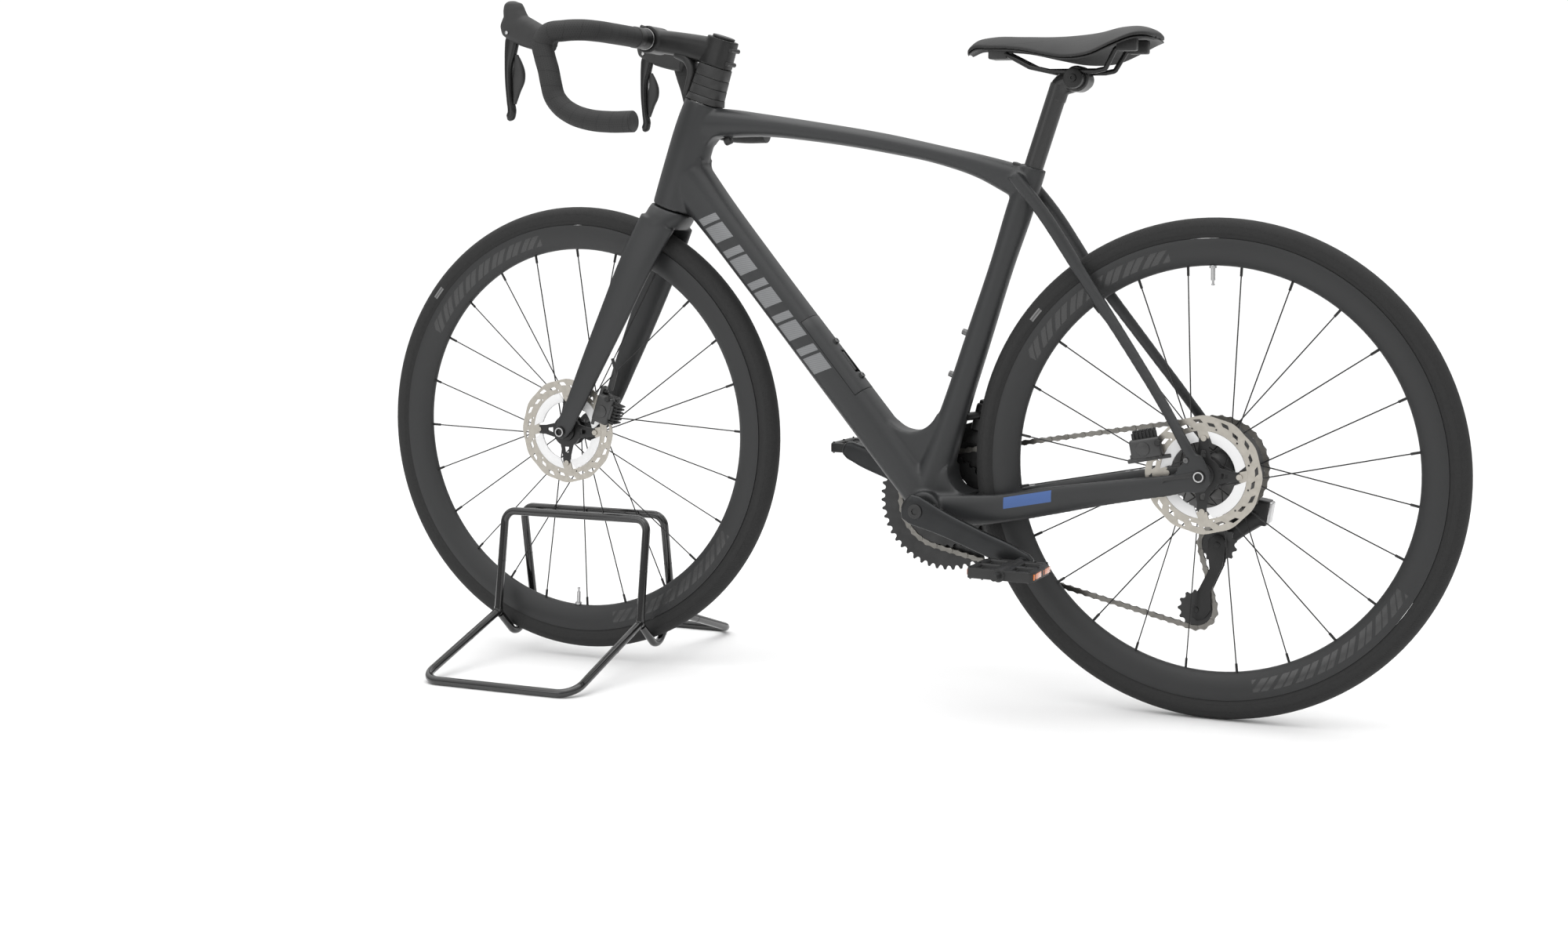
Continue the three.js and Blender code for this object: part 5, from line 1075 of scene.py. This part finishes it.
for side_name, side in [("left", -1), ("right", 1)]:
    y = side * 190

    def hung(stations):
        return [(PIVOT[0] + x, y, PIVOT[1] + z, d, w) for x, z, d, w in stations]

    hood = moulded(
        "hood_" + side_name,
        1.3,
        6,
        loft("bracket", hung(HOOD_BODY), 2.4),
        loft("nose", hung(HOOD_NOSE), 2.2),
    )
    carve(hood, aligned_box("slot", (PIVOT[0] + 1, y, PIVOT[1] - 12), (1, 0), (30, 13, 44)))
    settle(hood, BICYCLE, rubber_hood, "fork_and_bars", "rubber", "hood_" + side_name, angle=50)
    lever = loft("brake_lever_" + side_name, hung(LEVER), 2.6)
    settle(lever, BICYCLE, lever_grey, "brake_lever_" + side_name, "grey_metal", "brake_lever_" + side_name, angle=50)
    paddle = loft("shift_button_" + side_name, hung(PADDLE), 2.8)
    settle(paddle, BICYCLE, plastic, "shift_button_" + side_name, "plastic", "shift_button_" + side_name, angle=50)
    pivot_pin = rounded(rod("hood_pin_" + side_name, 2.6, (PIVOT[0], y - 14.2, PIVOT[1] + 5), (PIVOT[0], y + 14.2, PIVOT[1] + 5)), 0.5)
    settle(pivot_pin, BICYCLE, silver, "fork_and_bars", "steel")

# ---------------------------------------------------------------- brake calipers and hose
# Two-piston calipers on the backs of the left blade and the left chainstay: dark grey bodies with
# a round bore cap, black finned pads on top, and a banjo bolt. A black hose feeds the front one.

caliper_grey = finish("caliper grey", grey(0.04), grey(0.07), (0.30, 0.42), 60, Metallic=0.5)
CALIPERS = [
    ("front", "fork_and_bars", steer(-6, 0, 57), -39.5, math.radians(71.9), -1001),
    ("rear", "frame", (-77, 0, 375), -55.7, math.radians(12), 0),
]
for name, body, spot, y, lean, wheel_x in CALIPERS:
    along = (math.cos(lean), math.sin(lean))
    out = (-along[1], along[0])

    def caliper_point(run, side, rise):
        return (spot[0] + along[0] * run + out[0] * rise, y + side, spot[2] + along[1] * run + out[1] * rise)

    lift = 1 if name == "rear" else -1  # fins point away from the frame
    parts = []
    for side in (-8.2, 8.2):
        block = aligned_box("half", caliper_point(0, side, 0), along, (44, 11.6, 28))
        parts.append(rounded(block, 4.5, 4))
        parts.append(rounded(rod("piston cap", 9.5, caliper_point(-3, side * 1.62, 0), caliper_point(-3, side * 1.9, 0), 40), 0.9))
    parts.append(rounded(aligned_box("bridge", caliper_point(0, 0, lift * 14.5), along, (22, 24, 5)), 1.5))
    parts.append(rounded(aligned_box("foot", caliper_point(0, 3, -lift * 15), along, (62, 12, 6)), 1.5))
    caliper = joined(name + "_caliper", *parts)
    rotor_room = rod("rotor room", 82.5, (wheel_x, y - 2.1, AXLE_HEIGHT), (wheel_x, y + 2.1, AXLE_HEIGHT), 96)
    settle(carve(caliper, rotor_room), BICYCLE, caliper_grey, body, "grey_metal", name + "_caliper")
    fins = []
    for i in range(6):
        run = -14 + i * 5.2
        fins.append(aligned_box("fin", caliper_point(run, -5, lift * 19), along, (2.4, 9, 13)))
        fins.append(aligned_box("fin", caliper_point(run, 5, lift * 19), along, (2.4, 9, 13)))
    fins.append(aligned_box("pad plate", caliper_point(0, -6.5, lift * 15), along, (36, 1.6, 14)))
    for run in (-24, 24):
        fins.append(rod("mount bolt", 3.6, caliper_point(run, 3, -lift * 13), caliper_point(run, 3, -lift * 7)))
    fins.append(rod("banjo", 4.6, caliper_point(19, -8, lift * 5), caliper_point(19, -17.5, lift * 5), 6))
    fin_set = joined(name + "_brake_fins", *[rounded(f, 0.5, 1) for f in fins])
    settle(fin_set, BICYCLE, carrier_black, body, "black_metal")

hose_line = bent([steer(4, -47, 136), steer(-8, -46, 118), steer(-8, -44, 88)], 12, 8)
hose = sweep("front_brake_hose", hose_line, 2.5, 16)
hose_rubber = finish("hose rubber", grey(0.012), grey(0.02), (0.35, 0.5), 60)
settle(hose, BICYCLE, hose_rubber, "fork_and_bars", "rubber", "front_brake_hose")

# ---------------------------------------------------------------- seatpost and saddle clamp
# A round carbon post with a forged head; two round cheeks on a cross bolt grip the rails. Satin
# carbon and black metal.

post_top = seat(-(873 - 752) / SEAT_UP[1] + 8)
post = joined(
    "seatpost",
    rod("tube", 13.6, seat(-(post_top[2] - 752) / SEAT_UP[1]), seat(100), 48),
    moulded(
        "post head",
        1.2,
        5,
        loft("neck", [(post_top[0] - 6, 0, post_top[2] - 22, 13.6, 13.6), (post_top[0] + 1, 0, post_top[2] - 3, 15, 13), (-213, 0, 871, 17, 13), (-193, 0, 874, 14, 13)]),
        rod("barrel", 18, (-203, -13, 873), (-203, 13, 873), 48),
    ),
)
carve(post, rod("bolt hole", 4.4, (-203, -20, 873), (-203, 20, 873), 24))
satin_carbon = finish("satin carbon", grey(0.012), grey(0.022), (0.28, 0.40), 12, 0.00002, 500)
settle(post, BICYCLE, satin_carbon, "seatpost", "carbon", "seatpost")
clamp_parts = [rod("clamp bolt", 4.0, (-203, -30, 873), (-203, 30, 873), 24)]
for side in (-1, 1):
    cheek = rounded(rod("cheek", 14, (-203, side * 13.4, 873), (-203, side * 28.8, 873), 48), 1.6)
    groove = aligned_box("groove", (-203, side * 22, 882.5), (1, 0), (60, 8.6, 8.6))
    clamp_parts.append(carve(cheek, groove))
    head = rounded(rod("bolt head", 5.6, (-203, side * 28.5, 873), (-203, side * 32, 873), 32), 0.8)
    clamp_parts.append(carve(head, rod("key", 2.3, (-203, side * 30.4, 873), (-203, side * 34, 873), 6)))
clamp = joined("saddle_clamp", *clamp_parts)
settle(clamp, BICYCLE, black_metal, "saddle_clamp", "black_metal", "saddle_clamp")

# ---------------------------------------------------------------- saddle
# A short road saddle: a padded cover bonded over a thin moulded shell, on rails of one bent
# black steel wire that loops in the nose.

SADDLE_TOP = 932
SADDLE = [(-366, 5, -18, 1), (-363, 12, -14, 4), (-350, 19, -4, 8), (-330, 22, 0, 13), (-283, 27, 0, 16), (-240, 38, -1, 24), (-205, 58, 0, 30), (-165, 72, 4, 30), (-137, 74, 10, 24), (-112, 66, 11, 14), (-97, 48, 7, 7), (-91, 30, 3, 4), (-89.5, 14, 1, 2)]


def saddle_layer(name, top, under, inset, first, last):
    """A curved sheet under the saddle's top line, from one depth to another."""
    columns = 25
    line = through(SADDLE, 5)[first:last]
    vertices = []
    for x, half, rise, drop in line:
        across = np.sin(np.linspace(-math.pi / 2, math.pi / 2, columns)) * (half - inset)
        upper = [(x, y, SADDLE_TOP + rise - top - drop * abs(y / half) ** 2.4) for y in across]
        edge = 0.55 + 0.45 * np.sqrt(np.maximum(0, 1 - (across / (half - inset + 0.01)) ** 6))
        lower = [(x, y, z - (under - top) * e) for (x, y, z), e in zip(upper, edge)]
        vertices += upper + lower[::-1]
    sides = 2 * columns
    faces = []
    for i in range(len(line) - 1):
        for k in range(sides):
            a, b = i * sides + k, i * sides + (k + 1) % sides
            faces.append((a, b, b + sides, a + sides))
    for start in (0, (len(line) - 1) * sides):
        for k in range(columns - 1):
            faces.append((start + k, start + k + 1, start + sides - 2 - k, start + sides - 1 - k))
    return tidy(build(name, vertices, faces), 0.05)


cover = saddle_layer("saddle_cover", 0, 7, 0, 0, None)
modify(cover, "REMESH", mode="VOXEL", voxel_size=1.3)
modify(cover, "SMOOTH", factor=0.5, iterations=6)
cover_skin = Shader("saddle cover", Specular_IOR_Level=0.4)
point, px, py, pz = cover_skin.place()
cloud = cover_skin.noise(point, 16.0)
grain = cover_skin.noise(point, 900.0, 2.0)
seam = abs(abs(py) - 0.0235) < 0.0006
cover_skin.feed("Base Color", cover_skin.mix(cloud, grey(0.012), grey(0.022)))
cover_skin.feed("Roughness", 0.44 + cloud * 0.16)
cover_skin.bump(grain * 0.4 - seam * 1.0, 0.00022)
settle(cover, BICYCLE, cover_skin, "saddle", "cover", "saddle_cover", angle=70)

saddle_shell = saddle_layer("saddle_shell", 7.3, 10.3, 2, 5, -5)
sockets = []
for low, high in [((-332, -15, 901), (-304, 15, 924)), ((-140, -36, 908), (-112, -22, 927)), ((-140, 22, 908), (-112, 36, 927))]:
    middle = tuple((a + b) / 2 for a, b in zip(low, high))
    size = tuple(b - a for a, b in zip(low, high))
    socket = rounded(aligned_box("socket", middle, (1, 0), size), 2.5, 3)
    sockets.append(socket)
cover_room = saddle_layer("cover room", -3, 7.3, -1, 0, None)
sockets = [carve(joined("sockets", *sockets), cover_room)]
saddle_shell = joined("saddle_shell", saddle_shell, *sockets)
RAIL = [(-121, 30, 916), (-143, 27, 912), (-158, 23, 885), (-171, 22, 882.5), (-238, 22, 882.5), (-268, 20, 889), (-306, 12, 908), (-322, 8, 909)]
rail_line = bent([*RAIL, *[(x, -y, z) for x, y, z in RAIL[::-1]]], 5.5, 5)
settle(saddle_shell, BICYCLE, plastic, "saddle", "plastic", "saddle_shell", angle=50)
rails = sweep("saddle_rails", rail_line, 3.5, 20)
rail_steel = finish("black rail steel", grey(0.012), grey(0.02), (0.22, 0.34), 60, Metallic=0.4)
settle(rails, BICYCLE, rail_steel, "saddle", "black_steel", "saddle_rails")

# ---------------------------------------------------------------- crank arms and spindle
# Hollow forged dark grey arms on a steel spindle; the right one carries the four-armed spider,
# the left one two pinch bolts and a preload cap.

CRANK_LENGTH = 172.5
CRANK_TURN = math.radians(-20.5)
crank_metal = finish("crank grey", grey(0.022, 0.03), grey(0.036, 0.03), (0.26, 0.36), 30, Metallic=0.7)


def crank_point(side, along, across=0.0, y=0.0):
    """A point along a crank arm from the bottom bracket, and across it."""
    c, s = -side * math.cos(CRANK_TURN), -side * math.sin(CRANK_TURN)
    return (BB[0] + along * c - across * s, y, BB[1] + along * s + across * c)


ARM = [(-22, 6, 5), (-19, 14, 6), (-8, 20.5, 6.5), (8, 20.5, 6.5), (30, 18, 6.5), (100, 15.5, 6.3), (165, 14.5, 6), (179, 12, 5.6), (185, 7, 4.6), (186.5, 3, 3)]
for side_name, side in [("left", -1), ("right", 1)]:
    arm = loft("arm", [(*crank_point(side, a, 0, side * 66.5), d, w) for a, d, w in ARM], 3.2, sides=40)
    parts = [
        arm,
        rod("pedal axle", 4.5, crank_point(side, CRANK_LENGTH, 0, side * 64), crank_point(side, CRANK_LENGTH, 0, side * 165), 24),
        rounded(rod("washer face", 9, crank_point(side, CRANK_LENGTH, 0, side * 72.5), crank_point(side, CRANK_LENGTH, 0, side * 75), 32), 0.5),
    ]
    if side > 0:
        parts.append(rod("spindle", 12, (BB[0], -72, BB[1]), (BB[0], 68, BB[1]), 40))
        parts.append(rounded(rod("hub", 26, (BB[0], 43.8, BB[1]), (BB[0], 61, BB[1]), 48), 1.5))
        for i in range(4):
            turn = CRANK_TURN + math.pi / 4 + i * math.pi / 2
            spider = [(20, 13), (46, 8), (60, 8), (64, 4), (64, -4), (60, -8), (46, -8), (20, -13)]
            outline = [(BB[0] + a * math.cos(turn) - b * math.sin(turn), BB[1] + a * math.sin(turn) + b * math.cos(turn)) for a, b in spider]
            parts.append(rounded(flat("spider", [outline], 50, 56), 1.2))
    crank = joined("crank_arm_" + side_name, *parts)
    settle(crank, BICYCLE, crank_metal, "crankset", "grey_metal", "crank_arm_" + side_name)
cap_parts = [
    rounded(rod("preload cap", 10.5, (BB[0], -72.8, BB[1]), (BB[0], -75.5, BB[1]), 40), 0.7),
    rod("pinch bolt", 2.6, crank_point(-1, 22, -19, -66.5), crank_point(-1, 22, 19.5, -66.5), 16),
    rod("pinch bolt", 2.6, crank_point(-1, 33, -18, -66.5), crank_point(-1, 33, 18.5, -66.5), 16),
]
crank_cap = joined("crank_cap", *cap_parts)
carve(crank_cap, rod("cap socket", 5, (BB[0], -80, BB[1]), (BB[0], -74, BB[1]), 8))
settle(crank_cap, BICYCLE, plastic, "crankset", "plastic")

# ---------------------------------------------------------------- chainrings
# Two toothed rings bolted to the spider, 50 teeth outside and 34 inside. Dark hard-anodised
# alloy with bright worn tooth flanks.

CHAIN_PITCH = 12.7
RINGS = [("large_chainring", 50, 47, 54, 2.0), ("small_chainring", 34, 39.8, 44, 0.6)]


def pitch_radius(teeth):
    return CHAIN_PITCH / (2 * math.sin(math.pi / teeth))


def toothed(name, x, z, teeth, low, high, tip, holes, turn=0.0):
    """A sprocket: tip is how far its teeth stand past the pitch circle."""
    outline = []
    pitch = pitch_radius(teeth)
    for i in range(teeth):
        for share, radius in [(0, pitch - 4.2), (0.2, pitch - 3.2), (0.4, pitch + tip), (0.6, pitch + tip), (0.8, pitch - 3.2)]:
            t = turn + 2 * math.pi * (i + share) / teeth
            outline.append((x + radius * math.cos(t), z + radius * math.sin(t)))
    return flat(name, [outline, *holes], low, high)


ring_metal = finish("chainring metal", grey(0.03), grey(0.06), (0.28, 0.4), 60, Metallic=0.8)
for name, teeth, y, inner, tip in RINGS:
    piece = toothed(name, *BB, teeth, y - 1.3, y + 1.3, tip, [ring(*BB, inner, 64)])
    settle(piece, BICYCLE, ring_metal, "crankset", "grey_metal", name)

# ---------------------------------------------------------------- pedals
# Moulded black platform pedals with rows of grip pins and an orange reflector in each long edge.

pedal_plastic = finish("pedal plastic", grey(0.010), grey(0.020), (0.42, 0.58), 60, 0.00005)
reflector = Shader("orange reflector", Coat_Weight=0.6)
point, px, py, pz = reflector.place()
facet = ((px * 900.0).math("SINE") * (py * 900.0).math("SINE")) * 0.5 + 0.5
reflector.feed("Base Color", reflector.mix(facet, (0.40, 0.07, 0.005, 1), (0.80, 0.20, 0.02, 1)))
reflector.feed("Roughness", 0.12 + facet * 0.15)
for side_name, side in [("left", -1), ("right", 1)]:
    x, _, z = crank_point(side, CRANK_LENGTH)
    y = side * 129
    outline = [(-44, -42), (-48, -30), (-47, -8), (-48, 8), (-47, 30), (-42, 42), (42, 42), (47, 30), (48, 8), (47, -8), (48, -30), (44, -42)]
    windows = [
        [(a * s + 0.0, b) for a, b in [(12, -30), (37, -32), (38, -3), (12, -3)]] for s in (-1, 1)
    ] + [[(a * s + 0.0, b) for a, b in [(12, 3), (38, 3), (37, 32), (12, 30)]] for s in (-1, 1)]
    body = flat("platform", [outline, *windows], -7, 7)
    body.data.transform(Matrix.Translation((x, y, z)) @ Matrix.Rotation(-math.pi / 2, 4, "X"))
    parts = [
        rounded(body, 1.6),
        rounded(rod("barrel", 9, (x, y - 43.5, z), (x, y + 43.5, z), 32), 1.0),
    ]
    for a in (-42, -25, 25, 42):
        for b in (-36, 0, 36):
            parts.append(rod("pin", 1.5, (x + a, y + b, z - 8.8), (x + a, y + b, z + 8.8), 8))
    pedal = carve(joined("pedal_" + side_name, *parts), rod("bore", 4.8, (x, y - 60, z), (x, y + 60, z), 24))
    settle(pedal, BICYCLE, pedal_plastic, "pedal_" + side_name, "plastic", "pedal_" + side_name)
    glass = [rounded(aligned_box("glass", (x + e * 46.6, y + b, z), (1, 0), (2.6, 30, 8)), 0.5) for e in (-1, 1) for b in (-19, 19)]
    settle(joined("pedal_reflectors_" + side_name, *glass), BICYCLE, reflector, "pedal_" + side_name, "plastic")

# ---------------------------------------------------------------- cassette
# Twelve stamped steel sprockets from 34 to 11 teeth, side by side on the freehub, with a black
# lock ring. Nickel-grey with darker gaps.

cog_steel = finish("sprocket steel", grey(0.10), grey(0.19), (0.28, 0.42), 80, Metallic=0.9)
COGS = [34, 30, 27, 24, 21, 19, 17, 16, 15, 14, 12, 11]
COG_Y = 25.5
cogs = []
for i, teeth in enumerate(COGS):
    y = COG_Y + i * 2.85
    inner = max(pitch_radius(teeth) - 16, 11)
    cogs.append(toothed("cog", 0, AXLE_HEIGHT, teeth, y - 0.8, y + 0.8, 0.4, [ring(0, AXLE_HEIGHT, inner, 40)], i * 0.07))
cogs.append(turned("body", [(10.4, COG_Y - 2), (27, COG_Y - 2), (44, COG_Y - 0.6), (44, COG_Y + 0.6), (30, COG_Y + 8), (18, COG_Y + 20), (16, COG_Y + 34), (10.4, COG_Y + 35.5)], 0, AXLE_HEIGHT, 48))
cassette = joined("cassette", *cogs)
settle(cassette, BICYCLE, cog_steel, "cassette", "grey_metal", "cassette")

# ---------------------------------------------------------------- chain
# A 12-speed roller chain on the inner ring, the largest sprocket and both jockey wheels: outer
# and inner plates by turns, with a roller at every pin. Dull nickel plate.

JOCKEYS = [("upper", 4, 237, 1), ("lower", -24, 144, -1)]
CHAIN_WHEELS = [
    (*BB, pitch_radius(34), -1, 39.8),
    (0, AXLE_HEIGHT, pitch_radius(34), -1, COG_Y),
    *[(x, z, pitch_radius(13), turn, COG_Y) for _, x, z, turn in JOCKEYS],
]


def chain_line():
    """Points round all four wheels, with the straight runs between them."""
    count = len(CHAIN_WHEELS)
    runs = []
    for i in range(count):
        (x0, z0, r0, t0, _), (x1, z1, r1, t1, _) = CHAIN_WHEELS[i], CHAIN_WHEELS[(i + 1) % count]
        distance, bearing = math.hypot(x1 - x0, z1 - z0), math.atan2(z1 - z0, x1 - x0)
        normal = bearing - math.pi / 2 + math.asin((r0 * t0 - r1 * t1) / distance)
        runs.append((normal + (0 if t0 > 0 else math.pi), normal + (0 if t1 > 0 else math.pi)))
    line = []
    for i, (x, z, radius, turn, y) in enumerate(CHAIN_WHEELS):
        arrive, leave = runs[i - 1][1], runs[i][0]
        sweep_angle = leave - arrive
        while sweep_angle * turn < 0:
            sweep_angle += turn * 2 * math.pi
        while sweep_angle * turn > 2 * math.pi:
            sweep_angle -= turn * 2 * math.pi
        steps = max(int(abs(sweep_angle) * radius / 2), 4)
        for k in range(steps + 1):
            t = arrive + sweep_angle * k / steps
            line.append(Vector((x + radius * math.cos(t), y, z + radius * math.sin(t))))
    return line


line = chain_line()
run = np.concatenate([[0], np.cumsum([(b - a).length for a, b in zip(line, [*line[1:], line[0]])])])
links = 2 * round(run[-1] / CHAIN_PITCH / 2)
closed = np.array([*line, line[0]])
spots = np.linspace(0, run[-1], links, endpoint=False)
pins = [Vector([float(np.interp(s, run, closed[:, k])) for k in range(3)]) for s in spots]


def link_plate(name, low, high, waist):
    """A waisted plate round two pins, the first at the origin."""
    outline = []
    for middle, start in ((CHAIN_PITCH, -math.pi / 2), (0, math.pi / 2)):
        for i in range(6):
            t = start + math.pi * (i + 0.5) / 6
            outline.append((middle + 4.2 * math.cos(t), 4.2 * math.sin(t)))
        sign = 1 if middle else -1
        outline.append((CHAIN_PITCH / 2, sign * waist))
    return flat(name, [outline], low, high)


vertices, faces = [], []
for i, pin in enumerate(pins):
    after = pins[(i + 1) % links]
    outer = i % 2 == 0
    if i < 2:
        offset = (1.9, 2.7) if outer else (1.05, 1.85)
        parts = [
            link_plate("plate", offset[0], offset[1], 2.6),
            link_plate("plate", -offset[1], -offset[0], 2.6),
            rod("roller", 3.85, (0, -1.0, 0), (0, 1.0, 0), 10),
            rod("pin", 1.8, (0, -2.8, 0), (0, 2.8, 0), 8),
        ]
        kind = joined("link", *parts)
        shape = (np.array([v.co for v in kind.data.vertices]), [tuple(f.vertices) for f in kind.data.polygons])
        bpy.data.objects.remove(kind)
        if i == 0:
            outer_shape = shape
        else:
            inner_shape = shape
    points, polygons = outer_shape if outer else inner_shape
    along = (after - pin).normalized()
    side = Vector((0, 1, 0))
    side = (side - along * side.dot(along)).normalized()
    up = along.cross(side)
    frame_axes = np.array([along, side, up])
    start = len(vertices)
    vertices += list(points @ frame_axes + np.array(pin))
    faces += [tuple(start + k for k in polygon) for polygon in polygons]
chain = build("chain", vertices, faces)
chain_steel = finish("chain nickel", (0.13, 0.125, 0.115, 1), (0.26, 0.25, 0.23, 1), (0.26, 0.40), 120, Metallic=0.95)
settle(tidy(chain, 0.0001), BICYCLE, chain_steel, "frame", "chain", "chain")

# ---------------------------------------------------------------- front derailleur
# An electric motor block behind the seat tube over a steel cage: two plates joined by a bridge,
# either side of the chain.

CAGE_PLATE = [(-385, 378), (-360, 386), (-336, 390), (-324, 378), (-318, 362), (-330, 348), (-356, 352), (-382, 358)]
front_parts = [
    rounded(aligned_box("motor", (-347, 36, 392), (0.25, 1), (42, 28, 24)), 4, 4),
    rounded(aligned_box("motor cap", (-342, 36, 414), (0.25, 1), (6, 22, 18)), 2, 3),
    rounded(flat("inner plate", [CAGE_PLATE], 31.3, 32.8), 0.5),
    rounded(flat("outer plate", [CAGE_PLATE], 50.2, 51.7), 0.5),
    rounded(aligned_box("bridge", (-352, 41.5, 382), (1, 0.25), (34, 19, 3)), 0.8),
    rod("link pin", 3.2, (-352, 30, 398), (-352, 53, 398)),
    rod("mount", 6, (-362, 0, 396), (-350, 26, 396)),
]
front_derailleur = joined("front_derailleur", *front_parts)
settle(front_derailleur, BICYCLE, black_metal, "frame", "black_metal", "front_derailleur")

# ---------------------------------------------------------------- rear derailleur
# A hanger link from the right dropout, a motor block behind it and a long cage of two plates on
# the lower knuckle, with two toothed jockey wheels. Black, with a silver cap at the back.

hanger = [(-4, 320), (10, 322), (24, 316), (34, 298), (30, 282), (18, 274), (8, 280), (0, 300)]
body_parts = [
    rounded(flat("hanger link", [hanger], 74, 86), 2.5, 3),
    rod("hanger bolt", 6.5, (12, 72, 306), (12, 88, 306)),
    moulded(
        "knuckle",
        1.6,
        6,
        aligned_box("motor block", (43, 66, 282), (1, -0.15), (46, 26, 36)),
        loft("parallelogram", [(52, 64, 276, 15, 12), (26, 56, 260, 16, 13), (2, 44, 238, 14, 9)]),
        rod("lower knuckle", 15, (2, 34, 237), (2, 52, 237), 40),
    ),
    rounded(rod("knuckle cap", 9, (2, 51, 237), (2, 54, 237), 32), 0.8),
]
rear_derailleur = joined("rear_derailleur_body", *body_parts)
settle(rear_derailleur, BICYCLE, black_metal, "frame", "black_metal", "rear_derailleur_body")
tip = joined(
    "rear_derailleur_cap",
    rounded(aligned_box("cap", (66.5, 66, 280), (1, -0.15), (6, 22, 30)), 2, 3),
)
settle(tip, BICYCLE, silver, "frame", "steel")

(ux, uz), (lx, lz) = JOCKEYS[0][1:3], JOCKEYS[1][1:3]
CAGE = [(ux - 12, uz + 6), (ux - 4, uz + 14), (ux + 6, uz + 13), (ux + 13, uz + 4), (ux + 8, uz - 30), (lx + 20, lz + 26), (lx + 22, lz + 2), (lx + 12, lz - 13), (lx + 2, lz - 15), (lx - 5, lz - 10), (lx + 2, lz + 26), (ux - 10, uz - 34), (ux - 13, uz - 8)]
CAGE_HOLE = [(ux - 9, uz - 22), (ux + 3, uz - 22), (ux + 1, uz - 40), (lx + 7, lz + 22), (lx - 5, lz + 18), (ux - 12, uz - 42)]
cage_parts = [
    rounded(flat("inner plate", [CAGE], COG_Y - 7.5, COG_Y - 5.5), 0.6),
    rounded(flat("outer plate", [CAGE, CAGE_HOLE], COG_Y + 5.5, COG_Y + 7.5), 0.6),
]
for _, x, z, _ in JOCKEYS:
    cage_parts.append(rod("jockey pin", 3.0, (x, COG_Y - 7, z), (x, COG_Y + 7, z), 20))
    cage_parts.append(rounded(rod("pin head", 4.5, (x, COG_Y - 9, z), (x, COG_Y - 7.2, z), 20), 0.5))
cage = joined("rear_derailleur_cage", *cage_parts)
settle(cage, BICYCLE, black_metal, "frame", "black_metal", "rear_derailleur_cage")
for name, x, z, _ in JOCKEYS:
    wheel = toothed("jockey_wheel_" + name, x, z, 13, COG_Y - 1.3, COG_Y + 1.3, 0.2, [ring(x, z, 3.4, 20)])
    settle(wheel, BICYCLE, plastic, "jockey_wheel_" + name, "plastic", "jockey_wheel_" + name)
